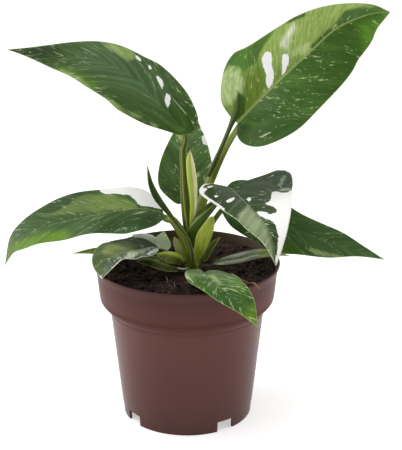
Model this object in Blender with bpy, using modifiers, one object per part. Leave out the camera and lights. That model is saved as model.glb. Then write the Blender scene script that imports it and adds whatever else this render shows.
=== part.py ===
"""White princess philodendron in a 12 cm nursery pot.

The frame has its origin at the centre of the pot's foot, +Z up, with the front of the plant towards -Y.
Sizes below are in millimetres and angles in degrees; MM turns lengths to metres.
"""
import math

import bmesh
import bpy
import numpy as np
from mathutils import Vector, noise

MM = 0.001

WELD = 1e-6         # metres; points closer than this are one point
GAP = 0.3           # between pieces that touch

# Pot
POT_HEIGHT = 104.3
RIM_RADIUS = 60
COLLAR_RADIUS = 56.8
SHOULDER_RADIUS = 50
SHOULDER_HEIGHT = 72
FOOT_RADIUS = 42.3
FOOT_STEP = 0.9     # how far the body stands out over the foot
FOOT_STEP_HEIGHT = 7.2
WALL = 1.2
FOOT_WALL = 1.6
FLOOR_UNDERSIDE = 8.6
FLOOR_THICKNESS = 1.4
POT_SIDES = 48
NOTCH_COUNT = 4
NOTCH_WIDTH = 12
NOTCH_HEIGHT = 7.3
NOTCH_DEPTH = 8     # of the cutter, through the foot's wall
NOTCH_FIRST = 35    # from the front towards +X

# Soil
SOIL_EDGE = 90.5    # height of the soil at the wall, where it is lowest
SOIL_MOUND = 3.5    # how much higher it is round the stem
MOUND_SPREAD = 26
SOIL_BANK = 8.5     # how much higher it lies against the wall behind the plant and to its right
BANK_TOWARDS = 50   # from +X towards +Y
BANK_FOOT = 24      # distance from the stem where the bank starts
BANK_TOP = 46
SOIL_LUMP = 1.6
SOIL_LUMP_SIZE = 9
SOIL_RIM_CALM = 8   # the lumps die out over this width at the wall
SOIL_STEM_CALM = 14
SOIL_RINGS = 10

# Plant
CROWN = (4, 7)
CROWN_RADIUS = 6
CROWN_TOP = 99
CROWN_FOOT = 80.3
BLADE_THICKNESS = 0.8
VEIN_SWEEP = 0.35   # how far a side vein runs forward for each millimetre it runs out
SEAT = 0.4          # petiole end to blade underside
PETIOLE_END = 0.6   # of the petiole's radius, where it meets the blade
THINNEST = 0.25     # radius of the finest tip

# Rows round the lobe, rows along the midrib and columns on each side, for a leaf's size
LARGE = (4, 12, 4)
MIDDLE = (3, 9, 3)
SMALL = (2, 7, 2)

# Margins of plain leaves as (share of the length, share of the width)
LANCE = [(0, 0), (0.02, 0.3), (0.10, 0.60), (0.25, 0.90), (0.45, 1.0), (0.65, 0.86), (0.85, 0.45), (1, 0)]
SHEATH = [(0, 0), (0.03, 0.6), (0.15, 0.93), (0.40, 1.0), (0.65, 0.88), (0.86, 0.55), (1, 0)]
SPOON = [(0, 0), (0.04, 0.25), (0.12, 0.46), (0.27, 0.75), (0.50, 1.0), (0.63, 0.98), (0.78, 0.8), (0.91, 0.52),
         (0.98, 0.26), (1, 0)]
POINTED = [(0, 0), (0.03, 0.28), (0.20, 0.38), (0.42, 0.45), (0.60, 0.78), (0.74, 1.0), (0.88, 0.62), (1, 0)]
HEART = [(0, 0), (-0.05, 0.3), (-0.02, 0.65), (0.12, 0.95), (0.30, 1.0), (0.50, 0.86), (0.75, 0.48), (1, 0)]


def smooth(points, count):
    """count points on a Catmull-Rom curve through the given ones."""
    p = np.asarray(points, float)
    p = np.vstack([2 * p[0] - p[1], p, 2 * p[-1] - p[-2]])
    spans = len(p) - 3
    t = np.linspace(0, spans, count)
    i = np.minimum(t.astype(int), spans - 1)
    f = (t - i)[:, None]
    a, b, c, d = p[i], p[i + 1], p[i + 2], p[i + 3]
    square, cube = 2 * a - 5 * b + 4 * c - d, 3 * b - a - 3 * c + d
    return 0.5 * (2 * b + (c - a) * f + square * f ** 2 + cube * f ** 3)


def clear_scene():
    for obj in list(bpy.data.objects):
        bpy.data.objects.remove(obj, do_unlink=True)


def new_collection(name):
    collection = bpy.data.collections.new(name)
    bpy.context.scene.collection.children.link(collection)
    return collection


def material(name, rgb, roughness):
    mat = bpy.data.materials.new(name)
    mat.use_nodes = True
    shader = mat.node_tree.nodes["Principled BSDF"]
    shader.inputs["Base Color"].default_value = (*rgb, 1)
    shader.inputs["Roughness"].default_value = roughness
    shader.inputs["Metallic"].default_value = 0
    return mat


def add_object(name, data, collection, mat):
    obj = bpy.data.objects.new(name, data)
    collection.objects.link(obj)
    data.materials.clear()
    data.materials.append(mat)
    return obj


def evaluated_mesh(obj):
    """The object's mesh with its modifiers applied and its double points joined."""
    bpy.context.view_layer.update()
    mesh = bpy.data.meshes.new_from_object(obj.evaluated_get(bpy.context.evaluated_depsgraph_get()))
    bm = bmesh.new()
    bm.from_mesh(mesh)
    bmesh.ops.remove_doubles(bm, verts=bm.verts, dist=WELD)
    bm.to_mesh(mesh)
    bm.free()
    return mesh


def turned(name, profile, collection, mat):
    """A solid turned round Z from (radius, height) points that start and end on the axis."""
    bm = bmesh.new()
    verts = [bm.verts.new((r * MM, 0, z * MM)) for r, z in profile]
    for a, b in zip(verts, verts[1:]):
        bm.edges.new((a, b))
    mesh = bpy.data.meshes.new(name)
    bm.to_mesh(mesh)
    bm.free()
    obj = add_object(name, mesh, collection, mat)
    screw = obj.modifiers.new("turn", "SCREW")
    screw.steps = screw.render_steps = POT_SIDES
    screw.use_merge_vertices = True
    screw.merge_threshold = 1e-5
    return obj


def cut(obj, cutter, cutters):
    """Cuts obj by cutter, which moves to the collection of cutters."""
    for collection in list(cutter.users_collection):
        collection.objects.unlink(cutter)
    cutters.objects.link(cutter)
    cutter.hide_render = True
    cutter.display_type = "WIRE"
    modifier = obj.modifiers.new("cut_" + cutter.name, "BOOLEAN")
    modifier.operation = "DIFFERENCE"
    modifier.object = cutter


def pot_profile():
    """The pot's half section as (radius, height), and the part of it that is the inside of the wall."""
    collar = [(RIM_RADIUS, POT_HEIGHT - 0.5), (RIM_RADIUS - 0.1, POT_HEIGHT - 1.5),
              (RIM_RADIUS - 1.1, POT_HEIGHT - 4.5), (RIM_RADIUS - 1.8, POT_HEIGHT - 8),
              (COLLAR_RADIUS, POT_HEIGHT - 22), (COLLAR_RADIUS - 1, POT_HEIGHT - 25),
              (COLLAR_RADIUS - 3.4, POT_HEIGHT - 28), (SHOULDER_RADIUS + 0.7, SHOULDER_HEIGHT + 2),
              (SHOULDER_RADIUS, SHOULDER_HEIGHT)]
    body_foot = FOOT_RADIUS + FOOT_STEP
    foot = [(body_foot, FOOT_STEP_HEIGHT), (body_foot - 0.5, FOOT_STEP_HEIGHT - 0.4), (FOOT_RADIUS, 0)]
    wall = [(r - WALL, z + (WALL / 2 if r < COLLAR_RADIUS - 0.5 else 0)) for r, z in collar[1:]]
    floor_top = FLOOR_UNDERSIDE + FLOOR_THICKNESS
    inside = [(0, floor_top), (body_foot - WALL, floor_top), *reversed(wall), (RIM_RADIUS - 0.6, POT_HEIGHT)]
    skirt_radius = FOOT_RADIUS - FOOT_WALL
    skirt = [(skirt_radius, 0), (skirt_radius + 0.5, FLOOR_UNDERSIDE), (0, FLOOR_UNDERSIDE)]
    return inside + collar + foot + skirt, inside


def build_pot(parts, cutters):
    mat = material("brown_moulded_plastic", (0.105, 0.045, 0.038), 0.42)
    profile, inside = pot_profile()
    pot = turned("pot", profile, parts, mat)
    cutter_height = 2 * NOTCH_HEIGHT
    for k in range(NOTCH_COUNT):
        angle = math.radians(NOTCH_FIRST + 360 * k / NOTCH_COUNT)
        bpy.ops.mesh.primitive_cube_add(size=1)
        notch = bpy.context.object
        notch.name = f"notch_{k + 1}"
        notch.scale = (NOTCH_WIDTH * MM, NOTCH_DEPTH * MM, cutter_height * MM)
        notch.location = (math.sin(angle) * FOOT_RADIUS * MM, -math.cos(angle) * FOOT_RADIUS * MM,
                          (NOTCH_HEIGHT - cutter_height / 2) * MM)
        notch.rotation_euler = (0, 0, angle)
        cut(pot, notch, cutters)
    return inside


def soil_height(x, y):
    """Height of the lumpy soil at a place, in millimetres: higher round the stem and in the bank at the wall."""
    away = math.hypot(x - CROWN[0], y - CROWN[1])
    mound = SOIL_MOUND * math.exp(-(away / MOUND_SPREAD) ** 2)
    up = min(1, max(0, (away - BANK_FOOT) / (BANK_TOP - BANK_FOOT)))
    turn = math.atan2(y, x) - math.radians(BANK_TOWARDS)
    bank = SOIL_BANK * up * up * (3 - 2 * up) * (0.5 + 0.5 * math.cos(turn)) ** 0.6
    coarse = noise.noise(Vector((x, y, 7)) / SOIL_LUMP_SIZE)
    fine = noise.noise(Vector((x, y, 3)) * 2 / SOIL_LUMP_SIZE)
    from_wall = COLLAR_RADIUS - math.hypot(x, y)
    calm = min(1, max(0, from_wall / SOIL_RIM_CALM)) * min(1, away / SOIL_STEM_CALM)
    return SOIL_EDGE + mound + bank + SOIL_LUMP * (coarse + 0.5 * fine) * calm


def build_soil(inside, parts, cutters):
    """The soil fills the pot from its floor to soil_height, with a plain round hole for the stem."""
    mat = material("potting_soil", (0.014, 0.009, 0.007), 0.95)
    floor, *wall = inside
    side = [(r - GAP, z + GAP) for r, z in wall if z < SOIL_EDGE]
    edge_radius = side[-1][0]
    top = [(edge_radius * (1 - k / SOIL_RINGS), SOIL_EDGE) for k in range(SOIL_RINGS + 1)]
    profile = [(0, floor[1] + GAP), *side, *top]
    base = turned("soil_base", profile[::-1], cutters, mat)
    mesh = evaluated_mesh(base)
    bpy.data.objects.remove(base)
    for v in mesh.vertices:
        x, y, z = v.co / MM
        if z > SOIL_EDGE - 0.1:
            z = soil_height(x, y)
            radius = math.hypot(x, y)
            spread = 1
            if radius > edge_radius - 0.5:
                spread = (np.interp(z, [q[1] for q in wall], [q[0] for q in wall]) - 2 * GAP) / radius
            v.co = Vector((x * spread, y * spread, z)) * MM
    soil = add_object("soil", mesh, parts, mat)
    hole_floor = CROWN_FOOT - GAP
    depth = CROWN_TOP + 10 - hole_floor
    bpy.ops.mesh.primitive_cylinder_add(vertices=24, radius=(CROWN_RADIUS + GAP) * MM, depth=depth * MM)
    hole = bpy.context.object
    hole.name = "stem_hole"
    hole.location = (CROWN[0] * MM, CROWN[1] * MM, (hole_floor + depth / 2) * MM)
    cut(soil, hole, cutters)


class Rib:
    """A leaf's midrib: places on it, and the directions along it, out of its face and to its right."""

    def __init__(self, points, face_base, face_tip):
        q = smooth(points, 161)
        s = np.concatenate([[0], np.cumsum(np.linalg.norm(np.diff(q, axis=0), axis=1))])
        self.length = s[-1]
        self.u = np.linspace(0, 1, 121)
        self.place = np.stack([np.interp(self.u * s[-1], s, q[:, k]) for k in range(3)], 1)
        t = np.gradient(self.place, axis=0)
        self.along = t / np.linalg.norm(t, axis=1)[:, None]
        face = np.outer(1 - self.u, face_base) + np.outer(self.u, face_tip)
        face -= (face * self.along).sum(1)[:, None] * self.along
        self.face = face / np.linalg.norm(face, axis=1)[:, None]
        self.right = np.cross(self.along, self.face)

    def at(self, y):
        """Place, along, face and right at y millimetres from the base; below 0 it runs on straight behind."""
        u = np.clip(y / self.length, 0, 1)
        place, along, face, right = (np.array([np.interp(u, self.u, a[:, k]) for k in range(3)])
                                     for a in (self.place, self.along, self.face, self.right))
        return place + along * min(y, 0), along, face, right


class Half:
    """One half of a blade: its margin as (along, out), and the root of the vein that ends at each point.

    The veins of a lobe fan out from the base. A half whose margin never runs back behind the base has no
    lobe, and its fan is the base itself.
    """

    def __init__(self, outline, length, fold, curl):
        m = smooth(outline, 200)
        m[:, 0] *= length / outline[-1][0]
        m[:, 1] = np.maximum(m[:, 1], 0)
        root = m[:, 0] - VEIN_SWEEP * m[:, 1]
        self.width = m[:, 1].max()
        self.fold = math.radians(fold)
        self.curl = math.radians(curl if curl else 0.5)
        lobe = max([k for k in range(len(root)) if root[k] <= 0])
        self.fan = m[:lobe + 1] if m[:, 0].min() < 0 else m[:1]
        self.side = m[lobe:]
        self.root = np.maximum.accumulate(root[lobe:])

    def margin(self, row, fan_rows, root):
        if row <= fan_rows:
            k = (row + 1) / (fan_rows + 1) * (len(self.fan) - 1)
            return [np.interp(k, np.arange(len(self.fan)), self.fan[:, c]) for c in (0, 1)]
        return [np.interp(root, self.root, self.side[:, c]) for c in (0, 1)]

    def lift(self, out):
        """Sideways and upward offset of a place that lies out millimetres from the rib on the bent blade."""
        end = self.fold + self.curl * out / self.width
        scale = self.width / self.curl
        return scale * (math.sin(end) - math.sin(self.fold)), scale * (math.cos(self.fold) - math.cos(end))


def blade(name, rib, left, right, fold, curl, rows, collection, mat):
    """A leaf blade: a grid bent to its rib and its two margins, then given its thickness."""
    fan_rows, rib_rows, columns = rows
    halves = {-1: Half(left, rib.length, fold[0], curl[0]), 1: Half(right, rib.length, fold[1], curl[1])}
    bm = bmesh.new()
    total = fan_rows + rib_rows
    bmesh.ops.create_grid(bm, x_segments=2 * columns, y_segments=total, size=1)
    for v in bm.verts:
        s = abs(v.co.x)
        side = -1 if v.co.x < 0 else 1
        row = round((v.co.y + 1) / 2 * total)
        root = max(0, row - fan_rows) / rib_rows * rib.length
        half = halves[side]
        y, x = half.margin(row, fan_rows, root)
        place, _, face, across = rib.at(root + (y - root) * s ** 1.3)
        sideways, up = half.lift(x * s)
        v.co = Vector(place + side * sideways * across + up * face) * MM
    bmesh.ops.remove_doubles(bm, verts=bm.verts, dist=1e-5)
    bmesh.ops.triangulate(bm, faces=bm.faces)
    mesh = bpy.data.meshes.new(name)
    bm.to_mesh(mesh)
    bm.free()
    mesh.shade_smooth()
    obj = add_object(name, mesh, collection, mat)
    solidify = obj.modifiers.new("thickness", "SOLIDIFY")
    solidify.thickness = BLADE_THICKNESS * MM
    solidify.offset = 0
    return obj


def tube(name, route, radii, collection, mat, count, sides_level=2):
    """A curve tube of count points through the route, with a radius at each of the route's points."""
    points = smooth([(*p, r) for p, r in zip(route, radii)], count)
    curve = bpy.data.curves.new(name, "CURVE")
    curve.dimensions = "3D"
    curve.bevel_depth = MM
    curve.bevel_resolution = sides_level
    curve.use_fill_caps = True
    spline = curve.splines.new("POLY")
    spline.points.add(count - 1)
    for point, (x, y, z, radius) in zip(spline.points, points):
        point.co = (x * MM, y * MM, z * MM, 1)
        point.radius = max(radius, THINNEST)
    return add_object(name, curve, collection, mat)


def scaled(shape, length, width):
    return [(a * length, b * width) for a, b in shape]


# For each leaf: name, rows, points of the midrib from base to tip, direction of its upper face at base and
# tip, left and right margin as (along, out) from the midrib, and for the two halves the fold at the midrib
# and the curl out to the margin. Left is the left hand's side for one who looks from the base to the tip
# at the upper face.
LEAVES = [
    ("leaf_upper_left", LARGE,
     [(1, 5, 187), (-13, 9, 201), (-33, 15, 221), (-58, 22, 231), (-86, 27, 233), (-113, 30, 236)],
     (0.3, -0.7, 0.7), (0.1, -0.6, 0.8),
     [(0, 0), (3, 6), (18, 16), (29, 22), (42, 27), (57, 26), (78, 22), (93, 16), (110, 8), (133, 0)],
     [(0, 0), (-1, 8), (5, 15), (17, 19.6), (29, 20.7), (43, 20.3), (54, 17), (77, 15), (105, 8), (133, 0)],
     (10, 10), (-14, -14)),
    ("leaf_upper_right", LARGE,
     [(32, 5, 194), (53, -3, 219), (75, -9, 242), (90, -10, 256), (108, -9, 264), (123, -4, 265)],
     (-0.7, -0.6, 0.4), (0.3, -0.9, -0.1),
     [(0, 0), (-1, 9), (1, 20), (14, 31), (27, 33), (41, 28), (64, 24), (76, 22), (91, 15), (108, 7), (122, 0)],
     [(0, 0), (-3, 9.5), (1, 22), (12, 32.7), (30, 36), (51, 32.3), (78, 26), (100, 18.5), (114, 7.5), (122, 0)],
     (20, 20), (-14, -14)),
    ("leaf_back", MIDDLE,
     [(1, 36, 134), (1, 43, 152), (2, 52, 167), (2, 62, 179), (1, 73, 190)],
     (0, -0.8, 0.6), (0, -0.6, 0.8),
     [(0, 0), (-3.5, 6.5), (0.5, 13), (8.5, 19.5), (19, 20), (36, 15.5), (55, 7), (70, 0)],
     [(0, 0), (-3, 6), (1, 12), (9, 17), (20, 17), (36, 13), (55, 6), (70, 0)],
     (14, 14), (-10, -10)),
    ("leaf_left", LARGE,
     [(-15, 10, 133), (-30, 14, 135), (-52, 20, 130), (-72, 26, 124), (-90, 31, 118), (-104, 34, 112),
      (-117, 37, 103), (-124, 40, 86)],
     (0.2, -0.4, 0.9), (-0.8, -0.4, 0.4),
     [(0, 0), (-2, 6), (1, 16), (9, 23.5), (20, 24.2), (34, 20.7), (54, 17), (75, 16), (102, 12), (119, 7), (131, 0)],
     [(0, 0), (3, 6), (9, 11), (18, 17), (32, 21), (54, 22), (76, 21), (93, 15.2), (108, 9), (121, 3.5), (131, 0)],
     (8, 8), (-10, -10)),
    ("leaf_front_right", LARGE,
     [(28, 10, 150), (35, -12, 149), (41, -32, 148), (46, -50, 147), (49, -62, 144), (51, -69, 137),
      (52, -73, 128)],
     (0, -0.1, 1), (-0.2, -0.9, 0.5),
     [(0, 0), (-3.2, 9.5), (-5.8, 20), (-8.3, 30.5), (-10.4, 39), (3, 41), (24, 34), (42, 27), (68, 16), (84, 6), (95, 0)],
     [(0, 0), (-5, 6), (-3, 15), (5, 22), (18, 27), (32, 20), (50, 15), (67, 12), (80, 6), (95, 0)],
     (6, 16), (0, 0)),
    ("leaf_right", LARGE,
     [(28, 28, 135), (50, 22, 128), (74, 14, 119), (99, 2, 113), (126, -10, 108)],
     (-0.2, -0.6, 0.7), (0.2, -0.6, 0.8),
     [(0, 0), (-5, 7), (-3, 14), (5, 19), (17, 19), (40, 12.5), (61, 11.7), (77, 9.7), (94, 5), (109, 0)],
     [(0, 0), (-3, 6), (1, 12), (10, 18), (26, 21), (42, 22), (59, 17.5), (75, 12.5), (92, 5), (109, 0)],
     (10, 10), (-20, -20)),
    ("leaf_over_rim_left", MIDDLE,
     [(-20, 12, 110), (-30, 4, 111), (-41, -7, 113), (-50, -19, 112), (-53, -32, 104)],
     (-0.2, -0.3, 0.9), (-0.5, -0.8, 0.4),
     [(0, 0), (2, 6), (10, 12), (22, 16), (36, 16), (49, 11), (59, 0)],
     [(0, 0), (2, 6), (10, 12), (21, 13), (36, 13), (49, 8), (59, 0)],
     (12, 12), (-8, -8)),
    ("leaf_over_rim_front", MIDDLE,
     [(11, -14, 101), (16, -37, 104.6), (23, -60, 106.3), (32, -69, 99.8), (42, -73, 89)],
     (0.1, -0.3, 0.9), (0.1, -0.8, 0.6),
     [(0, 0), (-5, 5), (0, 12), (18, 15), (34, 15), (50, 13), (64, 9), (77, 0)],
     [(0, 0), (-6, 6), (2, 13), (18, 15), (33, 14), (46, 10), (61, 4), (77, 0)],
     (9, 9), (-12, -12)),
    ("leaf_narrow_right", SMALL,
     [(17, 2, 101), (32, 0, 105), (49, -1, 109), (66, -2, 108)],
     (-0.1, -0.6, 0.8), (-0.1, -0.5, 0.9),
     scaled(LANCE, 50, 4), scaled(LANCE, 50, 4), (13, 13), (-11, -11)),
    ("leaf_silver", SMALL,
     [(-21, 30, 103.8), (-28.5, 33, 107), (-37, 35, 109.5)],
     (0.1, -0.6, 0.8), (-0.2, -0.6, 0.8),
     scaled(HEART, 18, 6), scaled(HEART, 18, 5), (10, 10), (-12, -12)),
    ("leaf_pale", SMALL,
     [(-17.3, 24, 102.4), (-16.6, 29, 107), (-15.2, 34, 112.3)],
     (0, -0.8, 0.6), (0, -0.9, 0.4),
     scaled(HEART, 15, 6.3), scaled(HEART, 15, 6.3), (14, 14), (-10, -10)),
    ("leaf_far_left", SMALL,
     [(-16, 14, 99), (-36, 15, 102), (-56, 13, 105.8), (-75, 11, 105.3)],
     (0, -0.5, 0.9), (0, -0.5, 0.9),
     scaled(LANCE, 60, 4), scaled(LANCE, 60, 4), (12, 12), (-10, -10)),
    ("leaf_arched", SMALL,
     [(-1.6, 2, 102.6), (-6.8, 0.2, 106.6), (-14, -0.5, 108.2), (-20.3, -0.5, 108.7)],
     (-0.3, -0.6, 0.8), (-0.4, -0.5, 0.8),
     scaled(LANCE, 22, 5.2), scaled(LANCE, 22, 4.6), (-8, -8), (-30, -30)),
    ("leaf_low_dark", SMALL,
     [(-5, -2, 98), (-14, -5, 101), (-24, -5, 104), (-33, -3, 105)],
     (0, -0.5, 0.9), (0, -0.5, 0.9),
     scaled(LANCE, 30, 3.4), scaled(LANCE, 30, 3.4), (12, 12), (-10, -10)),
    ("leaf_pointed", MIDDLE,
     [(3.7, -2.6, 103), (2.8, -3.5, 112), (-0.6, -3.6, 121.5), (-5.7, -2.7, 128.5), (-10.4, -1.6, 134.5), (-17, -0.8, 142.5),
      (-21.5, -0.6, 149), (-24, -0.3, 157), (-24.6, 1, 167.5)],
     (0.4, -0.9, 0.2), (0.8, -0.6, 0.2),
     scaled(POINTED, 75, 3.6), scaled(POINTED, 75, 3.6), (36, 36), (10, 10)),
    ("cataphyll_right", SMALL,
     [(7.1, -2.5, 103.7), (7.8, -5.5, 112), (10.3, -6.8, 122), (13.4, -7.6, 129.3), (16.4, -8, 136.8)],
     (-0.2, -1, 0.2), (-0.2, -1, 0.2),
     scaled(SPOON, 36, 4.8), scaled(SPOON, 36, 4.8), (-8, -8), (-12, -12)),
    ("cataphyll_left", SMALL,
     [(-2.2, 9.5, 99.5), (-5.2, 9, 108), (-8.3, 8.5, 117.3)],
     (-0.4, -0.9, 0.2), (-0.4, -0.9, 0.2),
     scaled(SHEATH, 19, 3.8), scaled(SHEATH, 19, 3.8), (-10, -10), (-30, -30)),
    ("cataphyll_small", SMALL,
     [(11.5, 7, 100.5), (14, 8, 106.5), (17.8, 9, 112.3), (21.5, 10, 116.5)],
     (-0.4, -0.7, 0.6), (-0.4, -0.7, 0.6),
     scaled(LANCE, 20, 2.6), scaled(LANCE, 20, 2.6), (15, 15), (10, 10)),
]

# Route from the crown to just short of the blade, radii along it, and the leaf that it carries.
PETIOLES = [
    ("leaf_upper_left", [(4, 7, 95), (2.6, 7, 112), (1.2, 6, 124), (-0.4, 5.5, 135), (-1.4, 4.8, 148), (-2.1, 4.5, 162),
                         (-2.3, 5, 175)],
     (4, 3.8, 3.6, 3.1, 2.7, 2.2, 2)),
    ("leaf_upper_right", [(4, 7, 95), (6, 13, 113), (9.5, 18.5, 136), (17.8, 16.5, 159), (25.6, 10, 178)],
     (4, 4, 3.5, 2.8, 2.2)),
    ("leaf_back", [(4, 7, 95), (3, 16, 108), (2, 26, 120)], (3, 2.4, 1.8)),
    ("leaf_left", [(4, 7, 95), (3.6, 3, 102), (1.1, 1, 111), (-3.2, 1.2, 122), (-8.9, 3.7, 130)],
     (4, 3.7, 3.4, 3.1, 2.7)),
    ("leaf_front_right", [(4, 7, 95), (2.6, 3.5, 112), (3.6, 0.6, 122.5), (6.8, -1.2, 130.5), (12.3, 0.3, 137), (22, 8.5, 144)],
     (4, 3.4, 3.3, 3.8, 3.5, 1.8)),
    ("leaf_right", [(4, 7, 95), (9, 12, 109), (16, 18, 122), (22, 24, 129)], (3.5, 2.2, 1.8, 1.7)),
    ("leaf_over_rim_left", [(4, 7, 96), (-4, 6, 101), (-12, 9, 106)], (2.5, 1.6, 1.3)),
    ("leaf_over_rim_front", [(4, 7, 96), (7, -1, 98), (9, -8, 99)], (2.5, 1.5, 1.3)),
    ("leaf_narrow_right", [(4, 7, 96), (10, 4, 98), (13, 3, 99)], (2.5, 1.3, 1)),
    ("leaf_silver", [(4, 7, 96), (-4, 18, 98), (-13, 27, 100)], (2.5, 1.3, 1)),
    ("leaf_pale", [(4, 7, 96), (-5, 14, 98), (-13, 20, 99)], (2.5, 1.3, 1)),
    ("leaf_far_left", [(4, 7, 96), (-5, 11, 97), (-11, 13, 97)], (2.5, 1.3, 1)),
    ("leaf_arched", [(4, 7, 96), (-1, 4, 99)], (2.5, 1)),
    ("leaf_low_dark", [(4, 7, 96), (-1, 1, 97)], (2.5, 1)),
    ("leaf_pointed", [(4, 7, 95), (4, 3, 98)], (3, 1.6)),
    ("cataphyll_right", [(4, 7, 95), (6.5, 1.5, 99.5)], (3, 1.8)),
    ("cataphyll_left", [(4, 7, 95), (-0.5, 9.5, 97)], (3, 1.2)),
    ("cataphyll_small", [(4, 7, 95), (9, 8, 97)], (3, 1)),
]


def as_mesh(obj):
    """The curve object turned into a closed mesh object in its place."""
    name, collection, mat = obj.name, obj.users_collection[0], obj.data.materials[0]
    mesh = evaluated_mesh(obj)
    bpy.data.objects.remove(obj)
    return add_object(name, mesh, collection, mat)


def build_leaves(parts):
    """Every blade; the midribs are kept, because the petioles end at them."""
    green = material("leaf_green", (0.035, 0.085, 0.022), 0.38)
    pale = material("pale_green", (0.28, 0.34, 0.10), 0.45)
    ribs = {}
    for name, rows, rib, face_base, face_tip, left, right, fold, curl in LEAVES:
        ribs[name] = Rib(rib, face_base, face_tip)
        mat = pale if name.startswith("cataphyll") else green
        blade(name, ribs[name], left, right, fold, curl, rows, parts, mat)
    return ribs


def build_stem(ribs, parts):
    """The crown and every petiole in one green body; each petiole ends just under its blade's base."""
    mat = material("petiole_green", (0.11, 0.14, 0.03), 0.4)
    pieces = new_collection("stem_pieces")
    crown = [(*CROWN, CROWN_FOOT), (*CROWN, SOIL_EDGE), (*CROWN, CROWN_TOP)]
    crown_radii = (CROWN_RADIUS, CROWN_RADIUS, 0.8 * CROWN_RADIUS)
    stem = as_mesh(tube("plant_stem", crown, crown_radii, parts, mat, 4, 4))
    for leaf, route, radii in PETIOLES:
        place, along, face, _ = ribs[leaf].at(0)
        end_radius = PETIOLE_END * radii[-1]
        below = BLADE_THICKNESS / 2 + SEAT + end_radius
        seat = place + along * 1.5 - face * below
        toward = place - np.array(route[-1])
        run_in = place - 3 * toward / np.linalg.norm(toward) - face * (below + 0.5 * radii[-1])
        as_mesh(tube("petiole_" + leaf, route + [tuple(run_in), tuple(seat)],
                     (*radii, 0.85 * radii[-1], end_radius), pieces, mat, 4 * len(route) - 3))
    union = stem.modifiers.new("join", "BOOLEAN")
    union.operation = "UNION"
    union.operand_type = "COLLECTION"
    union.collection = pieces
    joined = evaluated_mesh(stem)
    stem.modifiers.clear()
    stem.data = joined
    for obj in list(pieces.objects):
        bpy.data.objects.remove(obj)
    bpy.data.collections.remove(pieces)


def build_shoots(parts):
    """Two rolled young leaves and the dry root that lies over the rim."""
    cream = material("young_leaf_cream", (0.40, 0.42, 0.19), 0.45)
    dark = material("young_leaf_dark", (0.06, 0.10, 0.02), 0.42)
    root = material("dry_root", (0.30, 0.09, 0.03), 0.7)
    tube("new_leaf_pale",
         [(3.6, 0.8, 133.5), (4, 0.4, 138.5), (4.1, 0, 146), (3.6, 0, 155), (2.6, 0.2, 164), (1.9, 0.5, 172), (2.2, 0.5, 177.5)],
         (1, 1.8, 2.4, 3, 3, 2.2, 0.4), parts, cream, 13)
    tube("new_leaf_dark",
         [(13.8, 13.3, 157), (17.8, 10.9, 167), (22.2, 4.8, 179), (27, -1, 193), (31, -5, 205), (32, -7, 216)],
         (1.3, 1.5, 1.4, 1.5, 2.4, 0.4), parts, dark, 14)
    tube("dry_root", [(29, 5, 93.1), (33, -12, 96.2), (38, -32, 101), (41, -43.5, 105.3), (44, -50, 104.6)],
         (0.5, 0.6, 0.6, 0.6, 0.5), parts, root, 8)


clear_scene()
main_collection = new_collection("potted_philodendron")
cutter_collection = new_collection("cutters")
pot_inside = build_pot(main_collection, cutter_collection)
build_soil(pot_inside, main_collection, cutter_collection)
leaf_ribs = build_leaves(main_collection)
build_stem(leaf_ribs, main_collection)
build_shoots(main_collection)
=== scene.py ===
"""A white princess philodendron in its nursery pot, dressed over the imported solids.

Sizes are in millimetres, and those in node inputs in metres unless a name says mm. Colours are sRGB hex values.
"""
import math

import bmesh
import bpy
import numpy as np
from mathutils import Euler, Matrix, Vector, noise


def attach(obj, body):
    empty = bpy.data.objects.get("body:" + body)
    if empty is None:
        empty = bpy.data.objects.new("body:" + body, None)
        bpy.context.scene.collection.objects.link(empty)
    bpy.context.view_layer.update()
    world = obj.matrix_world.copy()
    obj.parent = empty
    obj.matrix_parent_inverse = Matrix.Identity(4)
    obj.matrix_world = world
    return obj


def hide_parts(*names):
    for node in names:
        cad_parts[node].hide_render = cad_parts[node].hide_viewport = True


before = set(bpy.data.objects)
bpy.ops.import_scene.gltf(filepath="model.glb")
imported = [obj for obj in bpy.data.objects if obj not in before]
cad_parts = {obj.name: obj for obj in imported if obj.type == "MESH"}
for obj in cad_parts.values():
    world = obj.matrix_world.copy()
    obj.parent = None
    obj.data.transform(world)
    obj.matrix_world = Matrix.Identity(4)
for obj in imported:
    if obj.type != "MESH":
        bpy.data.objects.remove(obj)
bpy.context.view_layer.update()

MM = 0.001

# ---------------------------------------------------------------- pot
# A 12 cm nursery pot, injection moulded in brown polypropylene, thin-walled, with a deep collar under the
# rim and four water notches in the foot. The wall is turned round Z and the notches are cut from the foot.

POT_HEIGHT, RIM_RADIUS, COLLAR_RADIUS = 104.3, 60, 56.8
SHOULDER_RADIUS, SHOULDER_HEIGHT = 50, 72
FOOT_RADIUS, FOOT_STEP, FOOT_STEP_HEIGHT = 42.3, 0.9, 7.2
WALL, FOOT_WALL = 1.2, 1.6
FLOOR_UNDERSIDE, FLOOR_THICKNESS = 8.6, 1.4
POT_SIDES, COLLAR_ROWS = 160, 41
PATH_RADIUS = 1
WELD = 1e-6       # metres


def smooth(points, count):
    """count points on a Catmull-Rom curve through the given ones."""
    p = np.asarray(points, float)
    p = np.vstack([2 * p[0] - p[1], p, 2 * p[-1] - p[-2]])
    spans = len(p) - 3
    t = np.linspace(0, spans, count)
    i = np.minimum(t.astype(int), spans - 1)
    f = (t - i)[:, None]
    a, b, c, d = p[i], p[i + 1], p[i + 2], p[i + 3]
    square, cube = 2 * a - 5 * b + 4 * c - d, 3 * b - a - 3 * c + d
    return 0.5 * (2 * b + (c - a) * f + square * f ** 2 + cube * f ** 3)


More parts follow.
